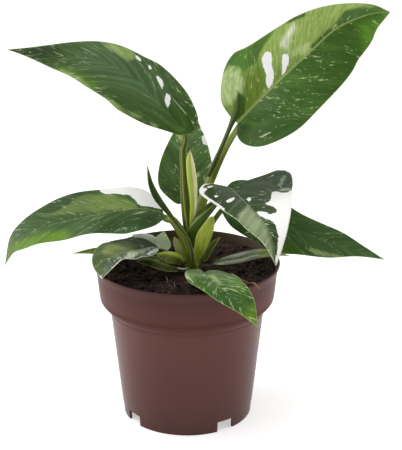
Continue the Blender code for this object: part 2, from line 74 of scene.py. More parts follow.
def pot_profile():
    """The pot's half section as (radius, height), and the part of it that is the inside of the wall."""
    collar = [(RIM_RADIUS, POT_HEIGHT - 0.5), (RIM_RADIUS - 0.1, POT_HEIGHT - 1.5),
              (RIM_RADIUS - 1.1, POT_HEIGHT - 4.5), (RIM_RADIUS - 1.8, POT_HEIGHT - 8),
              (COLLAR_RADIUS, POT_HEIGHT - 22), (COLLAR_RADIUS - 1, POT_HEIGHT - 25),
              (COLLAR_RADIUS - 3.4, POT_HEIGHT - 28), (SHOULDER_RADIUS + 1.1, SHOULDER_HEIGHT + 2),
              (SHOULDER_RADIUS + 0.1, SHOULDER_HEIGHT - 1), (SHOULDER_RADIUS - 0.4, SHOULDER_HEIGHT - 4)]
    body_foot = FOOT_RADIUS + FOOT_STEP
    foot = [(body_foot, FOOT_STEP_HEIGHT), (body_foot - 0.5, FOOT_STEP_HEIGHT - 0.4), (FOOT_RADIUS, 0)]
    wall = [(r - WALL, z + (WALL / 2 if r < COLLAR_RADIUS - 0.5 else 0)) for r, z in collar[1:]]
    floor_top = FLOOR_UNDERSIDE + FLOOR_THICKNESS
    inside = [(0, floor_top), (body_foot - WALL, floor_top), *reversed(wall), (RIM_RADIUS - 0.6, POT_HEIGHT)]
    skirt_radius = FOOT_RADIUS - FOOT_WALL
    skirt = [(skirt_radius, 0), (skirt_radius + 0.5, FLOOR_UNDERSIDE), (0, FLOOR_UNDERSIDE)]
    fine_collar = [tuple(p) for p in smooth(collar, COLLAR_ROWS)]
    return inside + fine_collar + foot + skirt, inside


def linear(hex_code):
    """The linear colour of an sRGB hex value such as #5a3c36."""
    parts = [int(hex_code[k:k + 2], 16) / 255 for k in (1, 3, 5)]
    return (*(c / 12.92 if c <= 0.04045 else ((c + 0.055) / 1.055) ** 2.4 for c in parts), 1)


def feed(node, inputs):
    """Sets a node's inputs, by name or number, each to a value, a colour in hex, or the first thing that another
    node gives. A map range reads from input 1 to 2 and gives from 3 to 4; a colour mix runs from 6 to 7."""
    for socket, value in inputs.items():
        if isinstance(value, bpy.types.Node):
            value = next(output for output in value.outputs if output.enabled)
        if isinstance(value, bpy.types.NodeSocket):
            node.id_data.links.new(value, node.inputs[socket])
        else:
            in_hex = isinstance(value, str) and value.startswith("#")
            node.inputs[socket].default_value = linear(value) if in_hex else value


def add(tree, kind, inputs=None, **settings):
    """A new node with its settings and inputs; a short kind is a shader node's."""
    node = tree.nodes.new(kind if "Node" in kind else "ShaderNode" + kind)
    for key, value in settings.items():
        setattr(node, key, value)
    feed(node, inputs or {})
    return node


def new_tree(name, **inputs):
    """A geometry tree with one number input for each name given; returns the tree, what it is given and its end."""
    tree = bpy.data.node_groups.new(name, "GeometryNodeTree")
    tree.interface.new_socket("Geometry", in_out="INPUT", socket_type="NodeSocketGeometry")
    tree.interface.new_socket("Geometry", in_out="OUTPUT", socket_type="NodeSocketGeometry")
    for label, value in inputs.items():
        kind = "NodeSocketInt" if isinstance(value, int) else "NodeSocketFloat"
        socket = tree.interface.new_socket(label.replace("_", " "), in_out="INPUT", socket_type=kind)
        socket.default_value = value
    return tree, tree.nodes.new("NodeGroupInput").outputs, tree.nodes.new("NodeGroupOutput")


# The tree carries the section round the axis and cuts the notches. Its path is a small circle, so the section
# lies nearer the axis by that radius, and upside down because the path turns it over.
pot_tree, given, made = new_tree("turned_pot", Sides=POT_SIDES, Notches=4, Notch_width=12.0, Notch_height=7.3,
                                 Notch_depth=8.0, First_notch=35.0)
tree = pot_tree
path = add(tree, "GeometryNodeCurvePrimitiveCircle", {"Resolution": given["Sides"], "Radius": PATH_RADIUS * MM})
section = add(tree, "GeometryNodeMeshToCurve", {"Mesh": given["Geometry"]})
swept = add(tree, "GeometryNodeCurveToMesh", {"Curve": path, "Profile Curve": section})
closed = add(tree, "GeometryNodeMergeByDistance", {"Geometry": swept, "Distance": 1e-5})
foot_ring = add(tree, "GeometryNodeCurvePrimitiveCircle",
                {"Resolution": given["Notches"], "Radius": FOOT_RADIUS * MM})
tall = add(tree, "Math", {0: given["Notch height"], 1: 2.0}, operation="MULTIPLY")
size = add(tree, "CombineXYZ", {"X": given["Notch width"], "Y": given["Notch depth"], "Z": tall})
in_metres = add(tree, "VectorMath", {0: size, "Scale": MM}, operation="SCALE")
block = add(tree, "GeometryNodeMeshCube", {"Size": in_metres})
corner = add(tree, "GeometryNodeInputIndex")
step = add(tree, "Math", {0: 360.0, 1: given["Notches"]}, operation="DIVIDE")
degrees = add(tree, "Math", {0: corner, 1: step, 2: given["First notch"]}, operation="MULTIPLY_ADD")
angle = add(tree, "Math", {0: degrees}, operation="RADIANS")
turn = add(tree, "CombineXYZ", {"Z": angle})
notch_points = add(tree, "GeometryNodeCurveToPoints", {"Curve": foot_ring}, mode="EVALUATED")
cos_place = add(tree, "Math", {0: angle}, operation="COSINE")
sin_place = add(tree, "Math", {0: angle}, operation="SINE")
minus_cos = add(tree, "Math", {0: cos_place, 1: -FOOT_RADIUS * MM}, operation="MULTIPLY")
plus_sin = add(tree, "Math", {0: sin_place, 1: FOOT_RADIUS * MM}, operation="MULTIPLY")
place = add(tree, "CombineXYZ", {"X": plus_sin, "Y": minus_cos})
on_ring = add(tree, "GeometryNodeSetPosition", {"Geometry": notch_points, "Position": place})
notches = add(tree, "GeometryNodeInstanceOnPoints", {"Points": on_ring, "Instance": block, "Rotation": turn})
loose = add(tree, "GeometryNodeRealizeInstances", {"Geometry": notches})
notched = add(tree, "GeometryNodeMeshBoolean", {"Mesh 1": closed, "Mesh 2": loose},
              operation="DIFFERENCE", solver="EXACT")
finish = add(tree, "GeometryNodeSetMaterial", {"Geometry": notched})
feed(made, {0: finish})


def new_material(name):
    """A material and its tree, with nothing in it but the shader."""
    mat = bpy.data.materials.new(name)
    mat.use_nodes = True
    return mat, mat.node_tree, mat.node_tree.nodes["Principled BSDF"]


# Moulded polypropylene: a satin skin with a soft wide highlight. The mould's fine spark texture is about
# 0.3 mm; flow lines and handling leave slow patches a few centimetres across. Painted shade darkens it low on
# the wall, in the angle under the shoulder and under the rim, and painted light lifts the collar part of the
# way back. Peat dust clings to the inside.
pot_plastic, tree, shader = new_material("moulded_polypropylene_brown")
where = add(tree, "TexCoord").outputs["Object"]
cloudy = add(tree, "TexNoise", {"Vector": where, "Scale": 28.0, "Detail": 3.0, "Roughness": 0.5})
tone = add(tree, "Mix", {0: cloudy, 6: "#5a312a", 7: "#663830"}, data_type="RGBA")
height = add(tree, "SeparateXYZ", {0: where})
# Painted shade: the wall is darkened towards its foot.
low = add(tree, "MapRange", {0: height.outputs["Z"], 1: 0.0, 2: 0.07, 3: 0.62, 4: 0.94})
body = add(tree, "VectorMath", {0: tone, "Scale": low}, operation="SCALE")
# Painted shade in the angle under the shoulder and under the rim, and painted light on the collar between them; where
# the shade is deepest the skin is also made rougher.
shade_in_angle, light_on_collar, shade_under_rim = (
    add(tree, "MapRange", {0: height.outputs["Z"], 1: bottom, 2: top, 3: 1.0, 4: tone_there},
        interpolation_type="SMOOTHSTEP")
    for bottom, top, tone_there in ((0.067, 0.0765, 0.74), (0.0793, 0.0845, 1.13), (0.088, 0.099, 0.8)))
painted_light_and_shade = add(tree, "Math", {0: shade_in_angle, 1: light_on_collar}, operation="MULTIPLY")
dull = add(tree, "MapRange", {0: painted_light_and_shade, 1: 0.9, 2: 0.75, 4: 0.5})
painted_light_and_shade = add(tree, "Math", {0: painted_light_and_shade, 1: shade_under_rim}, operation="MULTIPLY")
body = add(tree, "VectorMath", {0: body, "Scale": painted_light_and_shade}, operation="SCALE")
at_side = add(tree, "VectorMath", {0: where, 1: (1.0, 1.0, 0.0)}, operation="MULTIPLY")
faces_in = add(tree, "VectorMath", {0: at_side, 1: add(tree, "TexCoord").outputs["Normal"]},
               operation="DOT_PRODUCT")
inner = add(tree, "MapRange", {0: faces_in, 1: -0.03, 2: -0.045})
clouds = add(tree, "TexNoise", {"Vector": where, "Scale": 240.0, "Detail": 4.0, "Roughness": 0.7})
cling = add(tree, "MapRange", {0: clouds, 1: 0.38, 2: 0.56, 3: 0.25, 4: 0.95})
dusty = add(tree, "Math", {0: inner, 1: cling}, operation="MULTIPLY")
body = add(tree, "Mix", {0: dusty, 6: body, 7: "#544832"}, data_type="RGBA")
spark = add(tree, "TexNoise", {"Vector": where, "Scale": 3300.0, "Detail": 1.0})
rough = add(tree, "MapRange", {0: cloudy, 3: 0.34, 4: 0.46})
rough = add(tree, "Math", {0: rough, 1: dull}, operation="ADD")
relief = add(tree, "Bump", {"Height": spark, "Strength": 0.12, "Distance": 0.00006})
feed(shader, {"Base Color": body, "Roughness": rough, "Normal": relief, "Specular IOR Level": 0.25, "IOR": 1.49,
              "Sheen Weight": 0.25, "Sheen Roughness": 0.25})


def new_mesh(name, points, edges=(), faces=()):
    """A mesh from points in millimetres."""
    mesh = bpy.data.meshes.new(name)
    mesh.from_pydata([tuple(float(c) * MM for c in p) for p in points], edges, faces)
    return mesh


def show(name, mesh, mat=None):
    """Puts a mesh into the scene as an object at the origin."""
    obj = bpy.data.objects.new(name, mesh)
    bpy.context.scene.collection.objects.link(obj)
    if mat:
        mesh.materials.clear()
        mesh.materials.append(mat)
    return obj


def grown(name, mesh, tree, **inputs):
    """The plain mesh object that a geometry tree makes from a mesh, with its inputs set by their names."""
    seed = show(name + "_seed", mesh)
    modifier = seed.modifiers.new("grow", "NODES")
    modifier.node_group = tree
    for item in tree.interface.items_tree:
        label = item.name.replace(" ", "_")
        if item.in_out == "INPUT" and label in inputs:
            modifier[item.identifier] = inputs[label]
    bpy.context.view_layer.update()
    evaluated = seed.evaluated_get(bpy.context.evaluated_depsgraph_get())
    made = bpy.data.meshes.new_from_object(evaluated)
    seed.modifiers.clear()
    bpy.data.objects.remove(seed)
    return show(name, made)


def tidy_mesh(obj, sharp=None):
    """Joins double points and turns the faces outwards; sharp is the angle past which an edge stays hard."""
    bm = bmesh.new()
    bm.from_mesh(obj.data)
    bmesh.ops.remove_doubles(bm, verts=bm.verts, dist=WELD)
    bmesh.ops.dissolve_degenerate(bm, edges=bm.edges, dist=WELD)
    bmesh.ops.recalc_face_normals(bm, faces=bm.faces)
    bm.to_mesh(obj.data)
    bm.free()
    obj.data.shade_smooth()
    if sharp:
        obj.data.set_sharp_from_angle(angle=math.radians(sharp))


section_points, pot_inside = pot_profile()
section_mesh = new_mesh("pot_section", [(r - PATH_RADIUS, -z, 0) for r, z in section_points],
                        [(k, k + 1) for k in range(len(section_points) - 1)])
feed(finish, {"Material": pot_plastic})
pot = grown("nursery_pot", section_mesh, pot_tree)
tidy_mesh(pot, sharp=35)
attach(pot, "root")
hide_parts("pot")

# ---------------------------------------------------------------- soil
# Dark peat and coir potting mix that mounds a little round the crown and is banked up against the wall
# behind it. It was poured and watered in, so its face is lumpy, with loose crumbs, fibres and bits of bark.

SOIL_EDGE, SOIL_MOUND, MOUND_SPREAD = 90.5, 3.5, 26
SOIL_BANK, BANK_TOWARDS, BANK_FOOT, BANK_TOP = 8.5, 50, 24, 46
SOIL_LUMP, SOIL_LUMP_SIZE, SOIL_RIM_CALM, SOIL_STEM_CALM = 1.6, 9, 8, 14
CRUMB_SIZE, CRUMB_HEIGHT, CRUMB_LEVEL, GRIT_SIZE, GRIT_HEIGHT, CRUMB_CALM = 4, 0.9, 0.75, 1.5, 0.45, 3
CROWN = (4, 7)
GAP = 0.3
SOIL_RINGS, SOIL_SIDES = 84, 220


def soil_height(x, y):
    """Height of the lumpy soil: higher round the stem and in the bank at the wall."""
    away = math.hypot(x - CROWN[0], y - CROWN[1])
    mound = SOIL_MOUND * math.exp(-(away / MOUND_SPREAD) ** 2)
    up = min(1, max(0, (away - BANK_FOOT) / (BANK_TOP - BANK_FOOT)))
    turn = math.atan2(y, x) - math.radians(BANK_TOWARDS)
    bank = SOIL_BANK * up * up * (3 - 2 * up) * (0.5 + 0.5 * math.cos(turn)) ** 0.6
    coarse = noise.noise(Vector((x, y, 7)) / SOIL_LUMP_SIZE)
    fine = noise.noise(Vector((x, y, 3)) * 2 / SOIL_LUMP_SIZE)
    from_wall = COLLAR_RADIUS - math.hypot(x, y)
    calm = min(1, max(0, from_wall / SOIL_RIM_CALM)) * min(1, away / SOIL_STEM_CALM)
    return SOIL_EDGE + mound + bank + SOIL_LUMP * (coarse + 0.5 * fine) * calm


def soil_grain(x, y):
    """Height of the crumbs and the grit over the slow lumps."""
    crumbs = 1 - abs(2 * noise.noise(Vector((x, y, 11)) / CRUMB_SIZE))
    grit = noise.noise(Vector((x, y, 5)) / GRIT_SIZE)
    return CRUMB_HEIGHT * (crumbs - CRUMB_LEVEL) + GRIT_HEIGHT * grit


wall_radii, wall_heights = zip(*pot_inside[1:])
soil_side = [(r - GAP, z + GAP) for r, z in pot_inside[1:] if z < SOIL_EDGE]
soil_edge = soil_side[-1][0]
soil_rings = [(0, pot_inside[0][1] + GAP), *soil_side]
soil_rings += [(soil_edge * (1 - k / SOIL_RINGS), None) for k in range(SOIL_RINGS)] + [(0, None)]
soil_points, soil_faces, top_faces = [], [], []
for radius, z in soil_rings:
    for k in range(SOIL_SIDES if radius else 1):
        turn_by = 2 * math.pi * k / SOIL_SIDES
        x, y = radius * math.cos(turn_by), radius * math.sin(turn_by)
        if z is None:
            calm = min(1, (soil_edge - radius) / CRUMB_CALM)
            top = soil_height(x, y) + calm * soil_grain(x, y)
            reach = np.interp(top, wall_heights, wall_radii) - 2 * GAP
            spread = 1 + (reach / soil_edge - 1) * (radius / soil_edge) ** 4
            soil_points.append((x * spread, y * spread, top))
        else:
            soil_points.append((x, y, z))
for ring in range(len(soil_rings) - 1):
    first = 1 + (ring - 1) * SOIL_SIDES
    for k in range(SOIL_SIDES):
        here, beside = first + k, first + (k + 1) % SOIL_SIDES
        if ring == 0:
            soil_faces.append((0, 1 + (k + 1) % SOIL_SIDES, 1 + k))
        elif ring == len(soil_rings) - 2:
            soil_faces.append((here, beside, len(soil_points) - 1))
        else:
            soil_faces.append((here, beside, beside + SOIL_SIDES, here + SOIL_SIDES))
            if ring > len(soil_side) + 2:
                top_faces.append(soil_faces[-1])

# Damp peat: almost black-brown and dull, darker in the hollows of its bump relief, with grains of tan bark and
# reddish coir dust about 1 mm across.
peat, tree, shader = new_material("damp_peat_mix")
where = add(tree, "TexCoord").outputs["Object"]
lumps = add(tree, "TexNoise", {"Vector": where, "Scale": 170.0, "Detail": 5.0, "Roughness": 0.65})
dark = add(tree, "MapRange", {0: lumps, 1: 0.36, 2: 0.68})
tone = add(tree, "Mix", {0: dark, 6: "#292021", 7: "#45362d"}, data_type="RGBA")
grains = add(tree, "TexVoronoi", {"Vector": where, "Scale": 900.0})
pick = add(tree, "SeparateColor", {0: grains.outputs["Color"]})
bark = add(tree, "MapRange", {0: pick, 1: 0.93, 2: 0.97, 4: 0.75})
speck = add(tree, "Mix", {0: bark, 6: tone, 7: "#5b4130"}, data_type="RGBA")
relief = add(tree, "Bump", {"Height": lumps, "Strength": 0.8, "Distance": 0.0008})
feed(shader, {"Base Color": speck, "Normal": relief, "Roughness": 0.9, "Specular IOR Level": 0.2})

soil = show("potting_soil", new_mesh("potting_soil", soil_points, [], soil_faces), peat)
tidy_mesh(soil)
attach(soil, "root")
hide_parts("soil")

# Loose bits lie on a patch of the soil's own face. One tree scatters lumps, which the noise makes ragged;
# the other scatters short bent fibres.
top_patch = new_mesh("soil_top", soil_points, [], top_faces)
FULL_TURN = 6.283
SPIN_SEED, SHADE_SEED = 4, 9


def scattered(name, piece_of, mat, **inputs):
    """A tree that strews a small shape over a surface, each one turned and sized at random. Smallest and Largest
    multiply the shape's own size."""
    tree, given, made = new_tree(name, **inputs)
    points = add(tree, "GeometryNodeDistributePointsOnFaces",
                 {"Mesh": given["Geometry"], "Density": given["Per square metre"], "Seed": given["Seed"]})
    chance = add(tree, "FunctionNodeRandomValue", {2: 0.0, 3: 1.0, "Seed": given["Seed"]}, data_type="FLOAT")
    rare = add(tree, "Math", {0: chance, 1: 3.0}, operation="POWER")
    size = add(tree, "MapRange", {0: rare, 3: given["Smallest"], 4: given["Largest"]})
    lean = add(tree, "Math", {0: given["Tilt"], 1: -1.0}, operation="MULTIPLY")
    low = add(tree, "CombineXYZ", {0: lean, 1: lean, 2: 0.0})
    high = add(tree, "CombineXYZ", {0: given["Tilt"], 1: given["Tilt"], 2: FULL_TURN})
    spin = add(tree, "FunctionNodeRandomValue", {0: low, 1: high, "Seed": SPIN_SEED}, data_type="FLOAT_VECTOR")
    strewn = add(tree, "GeometryNodeInstanceOnPoints", {"Points": points, "Instance": piece_of(tree),
                                                       "Rotation": spin, "Scale": size})
    shade = add(tree, "FunctionNodeRandomValue", {2: 0.0, 3: 1.0, "Seed": SHADE_SEED}, data_type="FLOAT")
    marked = add(tree, "GeometryNodeStoreNamedAttribute",
                 {"Geometry": strewn, "Name": "tone", "Value": shade}, data_type="FLOAT", domain="INSTANCE")
    loose = add(tree, "GeometryNodeRealizeInstances", {"Geometry": marked})
    spot = add(tree, "GeometryNodeInputPosition")
    rough = add(tree, "TexNoise", {"Vector": spot, "Scale": 620.0, "Detail": 2.0})
    centred = add(tree, "VectorMath", {0: rough.outputs["Color"], 1: (0.5, 0.5, 0.5)}, operation="SUBTRACT")
    push = add(tree, "VectorMath", {0: centred, "Scale": given["Ragged"]}, operation="SCALE")
    bent = add(tree, "GeometryNodeSetPosition", {"Geometry": loose, "Offset": push})
    finish = add(tree, "GeometryNodeSetMaterial", {"Geometry": bent, "Material": mat})
    feed(made, {0: finish})
    return tree


def crumb(tree):
    """A lump of 80 faces, flattened a little."""
    ball = add(tree, "GeometryNodeMeshIcoSphere", {"Radius": MM, "Subdivisions": 2})
    return add(tree, "GeometryNodeTransform", {"Geometry": ball, "Scale": (1.0, 0.8, 0.6)})


def fibre(tree):
    """A thin bent thread 10 mm long that lies flat and lifts in its middle."""
    arc = add(tree, "GeometryNodeCurveQuadraticBezier",
              {"Resolution": 8, "Start": (-0.005, 0, 0), "Middle": (0.0005, 0.0022, 0.0016), "End": (0.005, 0, 0.0002)})
    ring = add(tree, "GeometryNodeCurvePrimitiveCircle", {"Resolution": 5, "Radius": 0.00016})
    return add(tree, "GeometryNodeCurveToMesh", {"Curve": arc, "Profile Curve": ring, "Fill Caps": True})


# Crumbs of peat with a few of tan bark; each keeps one tone over its whole surface.
crumb_peat, tree, shader = new_material("loose_peat_and_bark")
own_tone = add(tree, "Attribute", attribute_name="tone").outputs["Fac"]
plain = add(tree, "Mix", {0: own_tone, 6: "#161213", 7: "#483730"}, data_type="RGBA")
few = add(tree, "MapRange", {0: own_tone, 1: 0.94, 2: 0.96})
tan = add(tree, "Mix", {0: few, 6: plain, 7: "#6a4c36"}, data_type="RGBA")
feed(shader, {"Base Color": tan, "Roughness": 0.9, "Specular IOR Level": 0.2})

# Coir and fine dead roots: dry threads from rust brown to straw.
coir, tree, shader = new_material("dry_coir_fibre")
own_tone = add(tree, "Attribute", attribute_name="tone").outputs["Fac"]
straw = add(tree, "MapRange", {0: own_tone, 1: 0.8, 2: 1.0})
thread = add(tree, "Mix", {0: straw, 6: "#4a3128", 7: "#9a7a5e"}, data_type="RGBA")
feed(shader, {"Base Color": thread, "Roughness": 0.8})

strewn_crumbs = scattered("strewn_crumbs", crumb, crumb_peat, Per_square_metre=150000.0, Smallest=0.35, Largest=2.6,
                          Ragged=0.0009, Tilt=0.6, Seed=3)
strewn_fibres = scattered("strewn_fibres", fibre, coir, Per_square_metre=24000.0, Smallest=0.35, Largest=1.5,
                          Ragged=0.0016, Tilt=0.25, Seed=8)
for name, tree in (("soil_crumbs", strewn_crumbs), ("soil_fibres", strewn_fibres)):
    piece = grown(name, top_patch.copy(), tree)
    piece.data.shade_smooth()
    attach(piece, "root")

# ---------------------------------------------------------------- leaves
# Heart-shaped to lance-shaped leaf blades half a millimetre thick, folded a little along the midrib, with
# side veins that fan out of the base and sweep forward, and white sectors that run out along the veins.

VEIN_SWEEP, VEIN_PITCH, VEIN_QUILT = 0.35, 5.5, 0.05
THICKNESS, MARGIN_THINNING, RIPPLE_LENGTH = 0.45, 0.65, 41
RIB_HALF_WIDTH, RIB_GROOVE, RIB_KEEL = 0.9, 0.15, 1.0
FIELD_REACH = 8       # how far from its outline a marking's field is worked out
LEAF_APART = 7.0       # the step in the noise from one leaf to another, so that no two are marked alike
RIB_SAMPLES, RIB_PLACES, MARGIN_SAMPLES = 161, 121, 400
LARGE, MIDDLE, SMALL = (20, 120, 26), (14, 80, 18), (6, 44, 10)       # lobe rows, rib rows, columns a side
LANCE = [(0, 0), (0.02, 0.3), (0.10, 0.60), (0.25, 0.90), (0.45, 1.0), (0.65, 0.86), (0.85, 0.45), (1, 0)]
SHEATH = [(0, 0), (0.03, 0.6), (0.15, 0.93), (0.40, 1.0), (0.65, 0.88), (0.86, 0.55), (1, 0)]
SPOON = [(0, 0), (0.04, 0.25), (0.12, 0.46), (0.27, 0.75), (0.50, 1.0), (0.63, 0.98), (0.78, 0.8), (0.91, 0.52),
         (0.98, 0.26), (1, 0)]
POINTED = [(0, 0), (0.03, 0.28), (0.20, 0.38), (0.42, 0.45), (0.60, 0.78), (0.74, 1.0), (0.88, 0.62), (1, 0)]
HEART = [(0, 0), (-0.05, 0.3), (-0.02, 0.65), (0.12, 0.95), (0.30, 1.0), (0.50, 0.86), (0.75, 0.48), (1, 0)]

# Waxed leaf skin: satin, with a soft grey sheen where it faces the light. The markings have ragged edges
# that run out along the veins, so every pattern is drawn in vein coordinates and stretched fourfold along
# them; flecks are 0.5 to 3 mm, and the cell relief is about 0.4 mm.
NOISE_SPAN = {1: 0.35, 2: 0.65}       # nearly all of a noise's values lie in it
leaf_skin, tree, shader = new_material("waxed_leaf_skin")
vein = add(tree, "Attribute", attribute_name="vein_mm").outputs["Vector"]
streak = add(tree, "VectorMath", {0: vein, 1: (0.25, 1.0, 1.0)}, operation="MULTIPLY")
raggedness = add(tree, "TexNoise", {"Vector": streak, "Scale": 0.75, "Detail": 5.0, "Roughness": 0.65})
slow = add(tree, "TexNoise", {"Vector": streak, "Scale": 0.16, "Detail": 4.0, "Roughness": 0.6})
fields = {}
for label, raggedness_mm, blur in (("dark", 5.0, 1.0), ("pale", 5.5, 1.4), ("cream", 2.6, 0.22)):
    stored = add(tree, "Attribute", attribute_name=label).outputs["Fac"]
    ragged = add(tree, "Math", {0: raggedness, 1: 0.5}, operation="SUBTRACT")
    moved = add(tree, "Math", {0: ragged, 1: raggedness_mm, 2: stored}, operation="MULTIPLY_ADD")
    fields[label] = add(tree, "MapRange", {0: moved, 1: -blur, 2: blur}, interpolation_type="SMOOTHSTEP")
ground, light = (add(tree, "Attribute", attribute_name=label).outputs["Color"] for label in ("ground", "light"))
rib_mm, edge_mm, density, under = (add(tree, "Attribute", attribute_name=label).outputs["Fac"]
                                   for label in ("rib_mm", "edge_mm", "flecks", "under"))

# The ground: slow clouds of deeper green, and each side vein a little paler than the tissue between.
deep = add(tree, "MapRange", {0: slow, **NOISE_SPAN, 3: 0.8, 4: 1.2})
feathered = add(tree, "MapRange", {0: raggedness, **NOISE_SPAN, 3: 0.84, 4: 1.16})
level = add(tree, "Math", {0: deep, 1: feathered}, operation="MULTIPLY")
clouded = add(tree, "VectorMath", {0: ground, "Scale": level}, operation="SCALE")
parts = add(tree, "SeparateXYZ", {0: vein})
from_vein = add(tree, "Math", {0: parts.outputs["Y"], 1: VEIN_PITCH / 2}, operation="PINGPONG")
vein_line = add(tree, "MapRange", {0: from_vein, 1: 0.6, 2: 0.0, 4: 0.06}, interpolation_type="SMOOTHSTEP")
paler = add(tree, "MapRange", {0: slow, 1: 0.55, 2: 0.75, 4: 0.22})
paler = add(tree, "Math", {0: paler, 1: vein_line}, operation="ADD")
faint = add(tree, "MapRange", {0: raggedness, **NOISE_SPAN, 3: 0.92, 4: 1.1})
lit = add(tree, "VectorMath", {0: light, "Scale": faint}, operation="SCALE")

# Pale sectors with darker threads in them, dark islands, flecks, then white.
threads = add(tree, "MapRange", {0: raggedness, 1: 0.34, 2: 0.6, 3: 0.6, 4: 1.0})
pale_part = add(tree, "Math", {0: fields["pale"], 1: threads}, operation="MULTIPLY")
deep_green = add(tree, "VectorMath", {0: clouded, "Scale": 0.8}, operation="SCALE")
speckle = add(tree, "VectorMath", {0: vein, 1: (0.52, 1.0, 1.0)}, operation="MULTIPLY")
spots = add(tree, "TexNoise", {"Vector": speckle, "Scale": 0.55, "Detail": 3.0, "Roughness": 0.65})
groups = add(tree, "TexNoise", {"Vector": speckle, "Scale": 0.15, "Detail": 1.0})
level = add(tree, "Math", {0: density, 1: 0.16, 2: spots}, operation="MULTIPLY_ADD")
level = add(tree, "Math", {0: groups, 1: 0.3, 2: level}, operation="MULTIPLY_ADD")
fleck = add(tree, "MapRange", {0: level, 1: 0.845, 2: 0.895, 4: 0.85})
fleck_tone = add(tree, "Mix", {0: 0.45, 6: light, 7: "#e6ecc8"}, data_type="RGBA")
milk = add(tree, "Mix", {0: slow, 6: "#fbf8f2", 7: "#ffffff"}, data_type="RGBA")

# Midrib and margin show as thin pale lines; the underside is a matt paler green.
rib_part = add(tree, "MapRange", {0: rib_mm, 1: -0.15, 2: 0.35, 4: 0.7}, interpolation_type="SMOOTHSTEP")
rib_tone = add(tree, "Mix", {0: 0.5, 6: light, 7: "#b9c07a"}, data_type="RGBA")
edge_part = add(tree, "MapRange", {0: edge_mm, 1: 0.55, 2: 0.15, 4: 0.5}, interpolation_type="SMOOTHSTEP")
edge_tone = add(tree, "Mix", {0: 0.5, 6: light, 7: "#c3c88e"}, data_type="RGBA")
under_part = add(tree, "Math", {0: under, 1: 0.55}, operation="MULTIPLY")

# Each layer lies over those before it.
colour = clouded
for part, layer_tone in ((paler, lit), (pale_part, lit), (fields["dark"], deep_green), (fleck, fleck_tone),
                         (fields["cream"], milk), (rib_part, rib_tone), (edge_part, edge_tone),
                         (under_part, "#7d9268")):
    colour = add(tree, "Mix", {0: part, 6: colour, 7: layer_tone}, data_type="RGBA")
rough = add(tree, "MapRange", {0: under, 3: 0.42, 4: 0.6})
cells = add(tree, "TexNoise", {"Vector": vein, "Scale": 2.4, "Detail": 2.0})
relief = add(tree, "Bump", {"Height": cells, "Strength": 0.25, "Distance": 0.0001})
feed(shader, {"Base Color": colour, "Roughness": rough, "Specular IOR Level": 0.15, "Normal": relief, "IOR": 1.42})

leaf_ribs = {}


class Rib:
    """A leaf's midrib: places on it, and the directions along it, out of its face and to its right."""

    def __init__(self, points, face_base, face_tip):
        q = smooth(points, RIB_SAMPLES)
        s = np.concatenate([[0], np.cumsum(np.linalg.norm(np.diff(q, axis=0), axis=1))])
        self.length = s[-1]
        self.u = np.linspace(0, 1, RIB_PLACES)
        self.place = np.stack([np.interp(self.u * s[-1], s, q[:, k]) for k in range(3)], 1)
        t = np.gradient(self.place, axis=0)
        self.along = t / np.linalg.norm(t, axis=1)[:, None]
        face = np.outer(1 - self.u, face_base) + np.outer(self.u, face_tip)
        face -= (face * self.along).sum(1)[:, None] * self.along
        self.face = face / np.linalg.norm(face, axis=1)[:, None]
        self.right = np.cross(self.along, self.face)

    def at(self, y):
        """Place, along, face and right at y millimetres from the base; below 0 it runs on straight behind."""
        u = np.clip(y / self.length, 0, 1)
        place, along, face, right = (np.stack([np.interp(u, self.u, a[:, k]) for k in range(3)], -1)
                                     for a in (self.place, self.along, self.face, self.right))
        return place + along * np.minimum(y, 0)[..., None], along, face, right


def half_rows(outline, length, fan_rows, rib_rows):
    """For each row of one half, its margin point along and out, its root on the rib and its vein's number, in mm;
    then the half's width."""
    m = smooth(outline, MARGIN_SAMPLES)
    m[:, 0] *= length / outline[-1][0]
    m[:, 1] = np.maximum(m[:, 1], 0)
    root = m[:, 0] - VEIN_SWEEP * m[:, 1]
    lobe = max(k for k in range(len(root)) if root[k] <= 0)
    fan = m[:lobe + 1] if m[:, 0].min() < 0 else m[:1]
    walked = np.concatenate([[0], np.cumsum(np.linalg.norm(np.diff(fan, axis=0), axis=1))])
    k = (np.arange(fan_rows + 1) + 1) / (fan_rows + 1) * (len(fan) - 1)
    fan_margin = [np.interp(k, np.arange(len(fan)), fan[:, c]) for c in (0, 1)]
    fan_vein = 0.6 * (np.interp(k, np.arange(len(fan)), walked) - walked[-1])
    roots = np.arange(1, rib_rows + 1) / rib_rows * length
    side_root = np.maximum.accumulate(root[lobe:])
    side_margin = [np.interp(roots, side_root, m[lobe:, c]) for c in (0, 1)]
    along, out = (np.concatenate(pair) for pair in zip(fan_margin, side_margin))
    return along, out, np.concatenate([0 * k, roots]), np.concatenate([fan_vein, roots]), m[:, 1].max()


def inside_by(x, y, outline):
    """How far, in millimetres, each place lies inside a closed outline; negative outside it."""
    a = np.array(outline, float)
    b = np.roll(a, -1, axis=0)
    p = np.stack([x, y], -1)[..., None, :]
    ab, ap = b - a, p - a
    t = np.clip((ap * ab).sum(-1) / (ab ** 2).sum(-1), 0, 1)
    away = np.linalg.norm(ap - t[..., None] * ab, axis=-1).min(-1)
    spans = (a[:, 1] > p[..., 1]) != (b[:, 1] > p[..., 1])
    rise = np.where(ab[:, 1] == 0, 1, ab[:, 1])
    crosses = spans & (p[..., 0] < ab[:, 0] * (p[..., 1] - a[:, 1]) / rise + a[:, 0])
    return np.where(crosses.sum(-1) % 2, away, -away)


def patches(x, y, outlines):
    """How far each place lies inside the nearest of several outlines, kept within a marking's reach."""
    best = np.full(x.shape, -float(FIELD_REACH))
    for outline in outlines:
        best = np.maximum(best, inside_by(x, y, outline))
    return np.clip(best, -FIELD_REACH, FIELD_REACH)


def store(mesh, label, kind, values):
    """Stores a value for each point of a mesh, for a tree or a material to read."""
    key = {"FLOAT": "value", "FLOAT_VECTOR": "vector", "FLOAT_COLOR": "color"}[kind]
    mesh.attributes.new(label, kind, "POINT").data.foreach_set(key, values)


